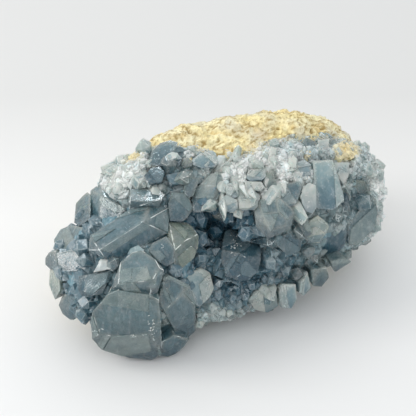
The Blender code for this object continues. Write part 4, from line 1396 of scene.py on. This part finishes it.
def add_teeth(batch, bed_tree):
    """Pointed crystals that lean out of the druse and down."""
    chance = random.Random(SEED + 7)
    for (x, y), (spread_x, spread_y), count, widths, stretch, milk, hang in TEETH:
        for _ in range(count):
            right = x + spread_x * chance.uniform(-1, 1)
            up = y + spread_y * chance.uniform(-1, 1)
            width = chance.uniform(*widths)
            points = random_habit(chance, width, width * stretch, TOOTH_HABIT)
            lean = jitter(chance, TOOTH_LEAN)
            spin = chance.uniform(0, math.tau)
            lift = chance.uniform(-MILK_SPREAD, MILK_SPREAD)
            hit, normal = seen_at(bed_tree, right, up)
            if hit is None or above_rind_line(right, up) or covered(right, up, TOOTH_MARGIN):
                continue
            axis = normal * (1.05 - 0.6 * hang) + OUT * 0.25 - UP * hang + lean
            points = stand(points, hit + normal * TOOTH_LIFT, axis, spin)
            bm, ridges = small_crystal(points, chance, TOOTH_BEVEL)
            wavy(bm, WAVE, axis)
            batch.add_bmesh(bm, (milk + lift, 0.1, 0.05, 0, 0), worn=TOOTH_WEAR, ridges=ridges)


def scatter_sparkles(batch):
    """Thin bright flakes on the faces of the large crystals: painted glints, partly where they are worn
    or broken.
    """
    chance = random.Random(SEED + 5)
    tree = BVHTree.FromPolygons(
        np.concatenate(batch.points).tolist(), np.concatenate(batch.faces).tolist())
    for (x, y), (spread_x, spread_y), count in SPARKLES:
        for _ in range(count):
            hit, normal = seen_at(
                tree, chance.gauss(x, spread_x / 2), chance.gauss(y, spread_y / 2))
            size = chance.uniform(*SPARKLE_SIZE) / 2
            spin = chance.uniform(0, math.tau)
            tilt = jitter(chance, SPARKLE_TILT)
            if hit is None:
                continue
            outline = [Vector((size * math.cos(angle) * SPARKLE_LENGTH, size * math.sin(angle), height))
                       for angle in SPARKLE_ANGLES for height in SPARKLE_HEIGHTS]
            flake = convex(stand(outline, hit, normal + tilt, spin))
            # The flakes are white painted glints, partly worn spots
            batch.add_bmesh(flake, SPARKLE_TONE, worn_and_glinting=True)


def grain_shapes(chance):
    """Blocky little crystals about one unit wide, every third a flat one, as points and triangles."""
    shapes = []
    for index in range(GRAIN_SHAPES):
        points = random_habit(chance, 1.0, 1.0, GRAIN_HABIT if index % 3 else PLATY_HABIT)
        bm = convex([point + jitter(chance, GRAIN_JITTER) for point in points])
        bmesh.ops.triangulate(bm, faces=bm.faces[:])
        shapes.append(arrays_of(bm))
        bm.free()
    return shapes


def shaded_facets(corners, lift):
    """How much painted shade each triangle gets by how far it faces away from the lit side, with a
    grain's own random lift.
    """
    normals = np.cross(corners[:, 1] - corners[:, 0], corners[:, 2] - corners[:, 0])
    normals /= np.linalg.norm(normals, axis=1)[:, None] + 1e-9
    return np.clip(0.5 - 0.5 * normals @ np.array(LIT_SIDE) + lift, 0, 1)


def build_druse(fine_bed, rock_tree):
    """Sugary grains and little crystals over the bed between the large ones."""
    chance = random.Random(SEED + 3)
    shapes = grain_shapes(chance)
    batch = Batch()
    made = 0
    for spot, normal in bed_spots(fine_bed, rock_tree, chance, DRUSE_CLEARANCE):
        if made == DRUSE_COUNT:
            break
        if spot.z < CRUST_LIFT + 1.5:
            continue
        right, up, _ = front_place(spot)
        if normal.dot(OUT) > 0 and covered(right, up, -1):
            continue
        shares, grain = zone_tone(right, up)
        if chance.random() > (0.5 + shares[0]) * min(1, (FULL_CHANCE_WIDTH / grain) ** 2):
            continue
        width = grain * min(WIDEST_GRAIN, math.exp(chance.gauss(0, GRAIN_SPREAD)))
        axis = (normal + jitter(chance, GRAIN_LEAN)).normalized()
        turn = axis.to_track_quat("Z", "Y").to_matrix() @ Matrix.Rotation(chance.uniform(0, 6.3), 3, "Z")
        points, faces = chance.choice(shapes[::3] if right > PLATY_END else shapes)
        root = spot - normal * width * (GRAIN_SINK + PALE_SINK * shares[0])
        points = points * width @ np.array(turn).T + np.array(root)
        if points[:, 2].min() < CRUST_LIFT:
            continue
        lift = chance.gauss(0, 0.12)
        edge = max(0.0, 1 - clearance(rock_tree, spot) / STAIN_REACH)
        stain = edge * max(0.0, chance.gauss(0.2, 0.35)) if up > 5 or spot.z < 14 else 0
        clay = clay_share(right, up) if normal.dot(OUT) > 0 else 0
        white = max(0, chance.gauss(shares[0] - 0.45, 0.2))
        tone = np.array((shares[0] + lift, shares[1], white, shares[2], max(stain, clay)))
        worn = chance.random() < shares[0] * 1.1 - 0.25 or clay > 0.4
        facets = shaded_facets(points[faces], chance.uniform(-0.3, 0.3))
        batch.add(points, faces, np.tile(tone, (len(faces), 1)),
                  WORN_FINISH if worn else MILKY_FINISH, facets)
        made += 1
    return batch


def tone_bed(mesh):
    """Tones of the fused ground: painted shade, dark under and between the crystals, and pale under the
    sugary druse.
    """
    tones = np.zeros((len(mesh.polygons), len(TONES)))
    for polygon in mesh.polygons:
        right, up, _ = front_place(polygon.center)
        shares, _ = zone_tone(right, up)
        in_front = polygon.normal.dot(OUT) > 0
        hidden = in_front and covered(right, up, 0.5)
        # Painted shade: the ground is dark under the crystals and, where it is not milky, between them
        plain = unit((0.8 - shares[0]) / 0.3)
        dark = 0.85 if hidden else shares[2] * 0.9 + plain * 0.75
        white = 0 if hidden else max(0.0, shares[0] - 0.4)
        clay = clay_share(right, up) if in_front else 0
        tones[polygon.index] = (shares[0], shares[1], white, dark, clay)
    add_tones(mesh, tones)


def roughen_bed(obj, rock_tree):
    """Granular relief, and a pale sugary mass that buries the feet of the crystals."""
    normals = [vertex.normal.copy() for vertex in obj.data.vertices]
    for vertex, normal in zip(obj.data.vertices, normals):
        spot = vertex.co
        right, up, _ = front_place(spot)
        shares, _ = zone_tone(right, up)
        pale = unit((shares[0] - PALE_START) / PALE_RANGE)
        pale *= unit(clearance(rock_tree, spot) / PALE_RISE)
        if normal.dot(OUT) > 0 and covered(right, up, 0.3):
            pale = 0
        lump = noise.fractal(spot / BED_LUMP_SIZE, 0.9, 2.0, 3)
        cell = noise.voronoi(spot / GRAIN_PITCH)[0][0]
        relief = (BED_LUMP_HEIGHT * lump + BED_LIFT * (1 - shares[2]) + PALE_LIFT * pale
                  - GRAIN_DIP * cell)
        vertex.co += normal * relief
        vertex.co.z = max(vertex.co.z, CRUST_LIFT + 0.3)


def dress(obj, finishes, *nodes):
    """Give a piece of the crust its finishes, and let it stand for its nodes."""
    for finish in finishes:
        obj.data.materials.append(finish)
    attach(obj, "root")
    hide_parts(*nodes)


def bed_and_hollow(name, voxel, smoothing):
    """The bed of the crust and the hollow that is cut into it."""
    return (lump_body(name, BED_LUMPS, voxel, smoothing),
            lump_body("hollow", HOLLOW_LUMPS, voxel, smoothing))


def build_crust(rock_tree):
    """The crystals, small ones, druse and fused ground, which stand for the solid crust."""
    bed, hollow = bed_and_hollow("bed", BED_VOXEL, BED_SMOOTHING)
    thin_out(bed, BED_TRIANGLES)
    subtract(bed, hollow)
    bed_tree = tree_of(bed.data)
    finishes = (
        celestite_material("celestite_clear", **CLEAR_LOOK),
        celestite_material("celestite_milky", **MILKY_LOOK),
        celestite_material("celestite_worn", **WORN_LOOK))
    crystals = build_large(bed_tree)
    scatter_sparkles(crystals)
    dress(crystals.build("large_crystals", SMOOTH_ANGLE), finishes, "celestite_crystals")
    small = build_small(bed, rock_tree)
    add_teeth(small, bed_tree)
    dress(small.build("small_crystals"), finishes, "celestite_crystals")
    fine_bed, fine_hollow = bed_and_hollow("druse_bed", FINE_BED_VOXEL, FINE_SMOOTHING)
    subtract(fine_bed, fine_hollow)
    roughen_bed(fine_bed, rock_tree)
    dress(build_druse(fine_bed, rock_tree).build("druse_grains"), finishes, "celestite_crystals")
    fine_bed.data.materials.clear()
    tone_bed(fine_bed.data)
    fine_bed.data.transform(PLACE)
    dull = celestite_material("celestite_ground", shade_blue=GROUND_SHADE_BLUE, **GROUND_LOOK)
    dress(fine_bed, (dull,), "celestite_crystals")
    discard(bed, hollow, fine_hollow)


def build_object():
    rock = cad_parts["matrix"]
    rock_mesh = rock.data.copy()
    rock_mesh.transform(PLACE.inverted() @ rock.matrix_world)
    build_rind(rock.data)
    build_crust(tree_of(rock_mesh))


def build_floor():
    """A pale floor with painted shade: it darkens a little far behind the object."""
    half = FLOOR_HALF
    mesh = bpy.data.meshes.new("floor")
    mesh.from_pydata(
        [(-half, -half, 0), (half, -half, 0), (half, half, 0), (-half, half, 0)], [], [(0, 1, 2, 3)])
    floor = linked_object("floor", mesh)
    made, tree, shader, place = material("paper")
    behind = tree.nodes.new("ShaderNodeVectorMath")
    behind.operation = "DOT_PRODUCT"
    behind.inputs[1].default_value = FLOOR_BACK
    tree.links.new(place, behind.inputs[0])
    fade = remap(tree, behind.outputs["Value"], *FLOOR_FADE)
    tree.links.new(mix_colour(tree, fade, FLOOR_COLOUR, FLOOR_FAR_SHADE), shader.inputs["Base Color"])
    shader.inputs["Roughness"].default_value = 0.8
    mesh.materials.append(made)


def build_sky():
    """Soft light all round, a little stronger from the window side."""
    world = bpy.data.worlds.new("world")
    bpy.context.scene.world = world
    world.use_nodes = True
    tree = world.node_tree
    background = tree.nodes["Background"]
    background.inputs["Color"].default_value = (*SKY_COLOUR, 1)
    towards = tree.nodes.new("ShaderNodeVectorMath")
    towards.operation = "DOT_PRODUCT"
    tree.links.new(tree.nodes.new("ShaderNodeTexCoord").outputs["Generated"], towards.inputs[0])
    towards.inputs[1].default_value = WINDOW_SIDE
    glow = remap(tree, towards.outputs["Value"], -0.2, 1.0, *SKY_STRENGTH)
    tree.links.new(glow, background.inputs["Strength"])


def build_lamps():
    """The key light, and a small window that shows only as glints."""
    for name, spot, target, size, power, colour in LAMPS:
        lamp = bpy.data.lights.new(name, "AREA")
        lamp.size = size
        lamp.energy = power
        lamp.color = colour
        obj = linked_object(name, lamp)
        obj.visible_diffuse = name == "key"
        obj.location = spot
        obj.rotation_euler = (Vector(target) - Vector(spot)).to_track_quat("-Z", "Y").to_euler()


def build_camera():
    camera = bpy.data.cameras.new("camera")
    camera.lens = SENSOR * VIEW_DISTANCE / VIEW_WIDTH
    camera.sensor_width = SENSOR
    obj = linked_object("camera", camera)
    target = PLACE @ PLANE_ORIGIN - (RIGHT - UP) * VIEW_SHIFT * MM
    pose = Matrix((RIGHT, UP, OUT)).transposed().to_4x4()
    pose.translation = target + OUT * VIEW_DISTANCE * MM
    obj.matrix_world = pose
    bpy.context.scene.camera = obj
    bpy.context.scene.view_settings.view_transform = "Standard"


build_camera()
build_floor()
build_sky()
build_lamps()
build_object()
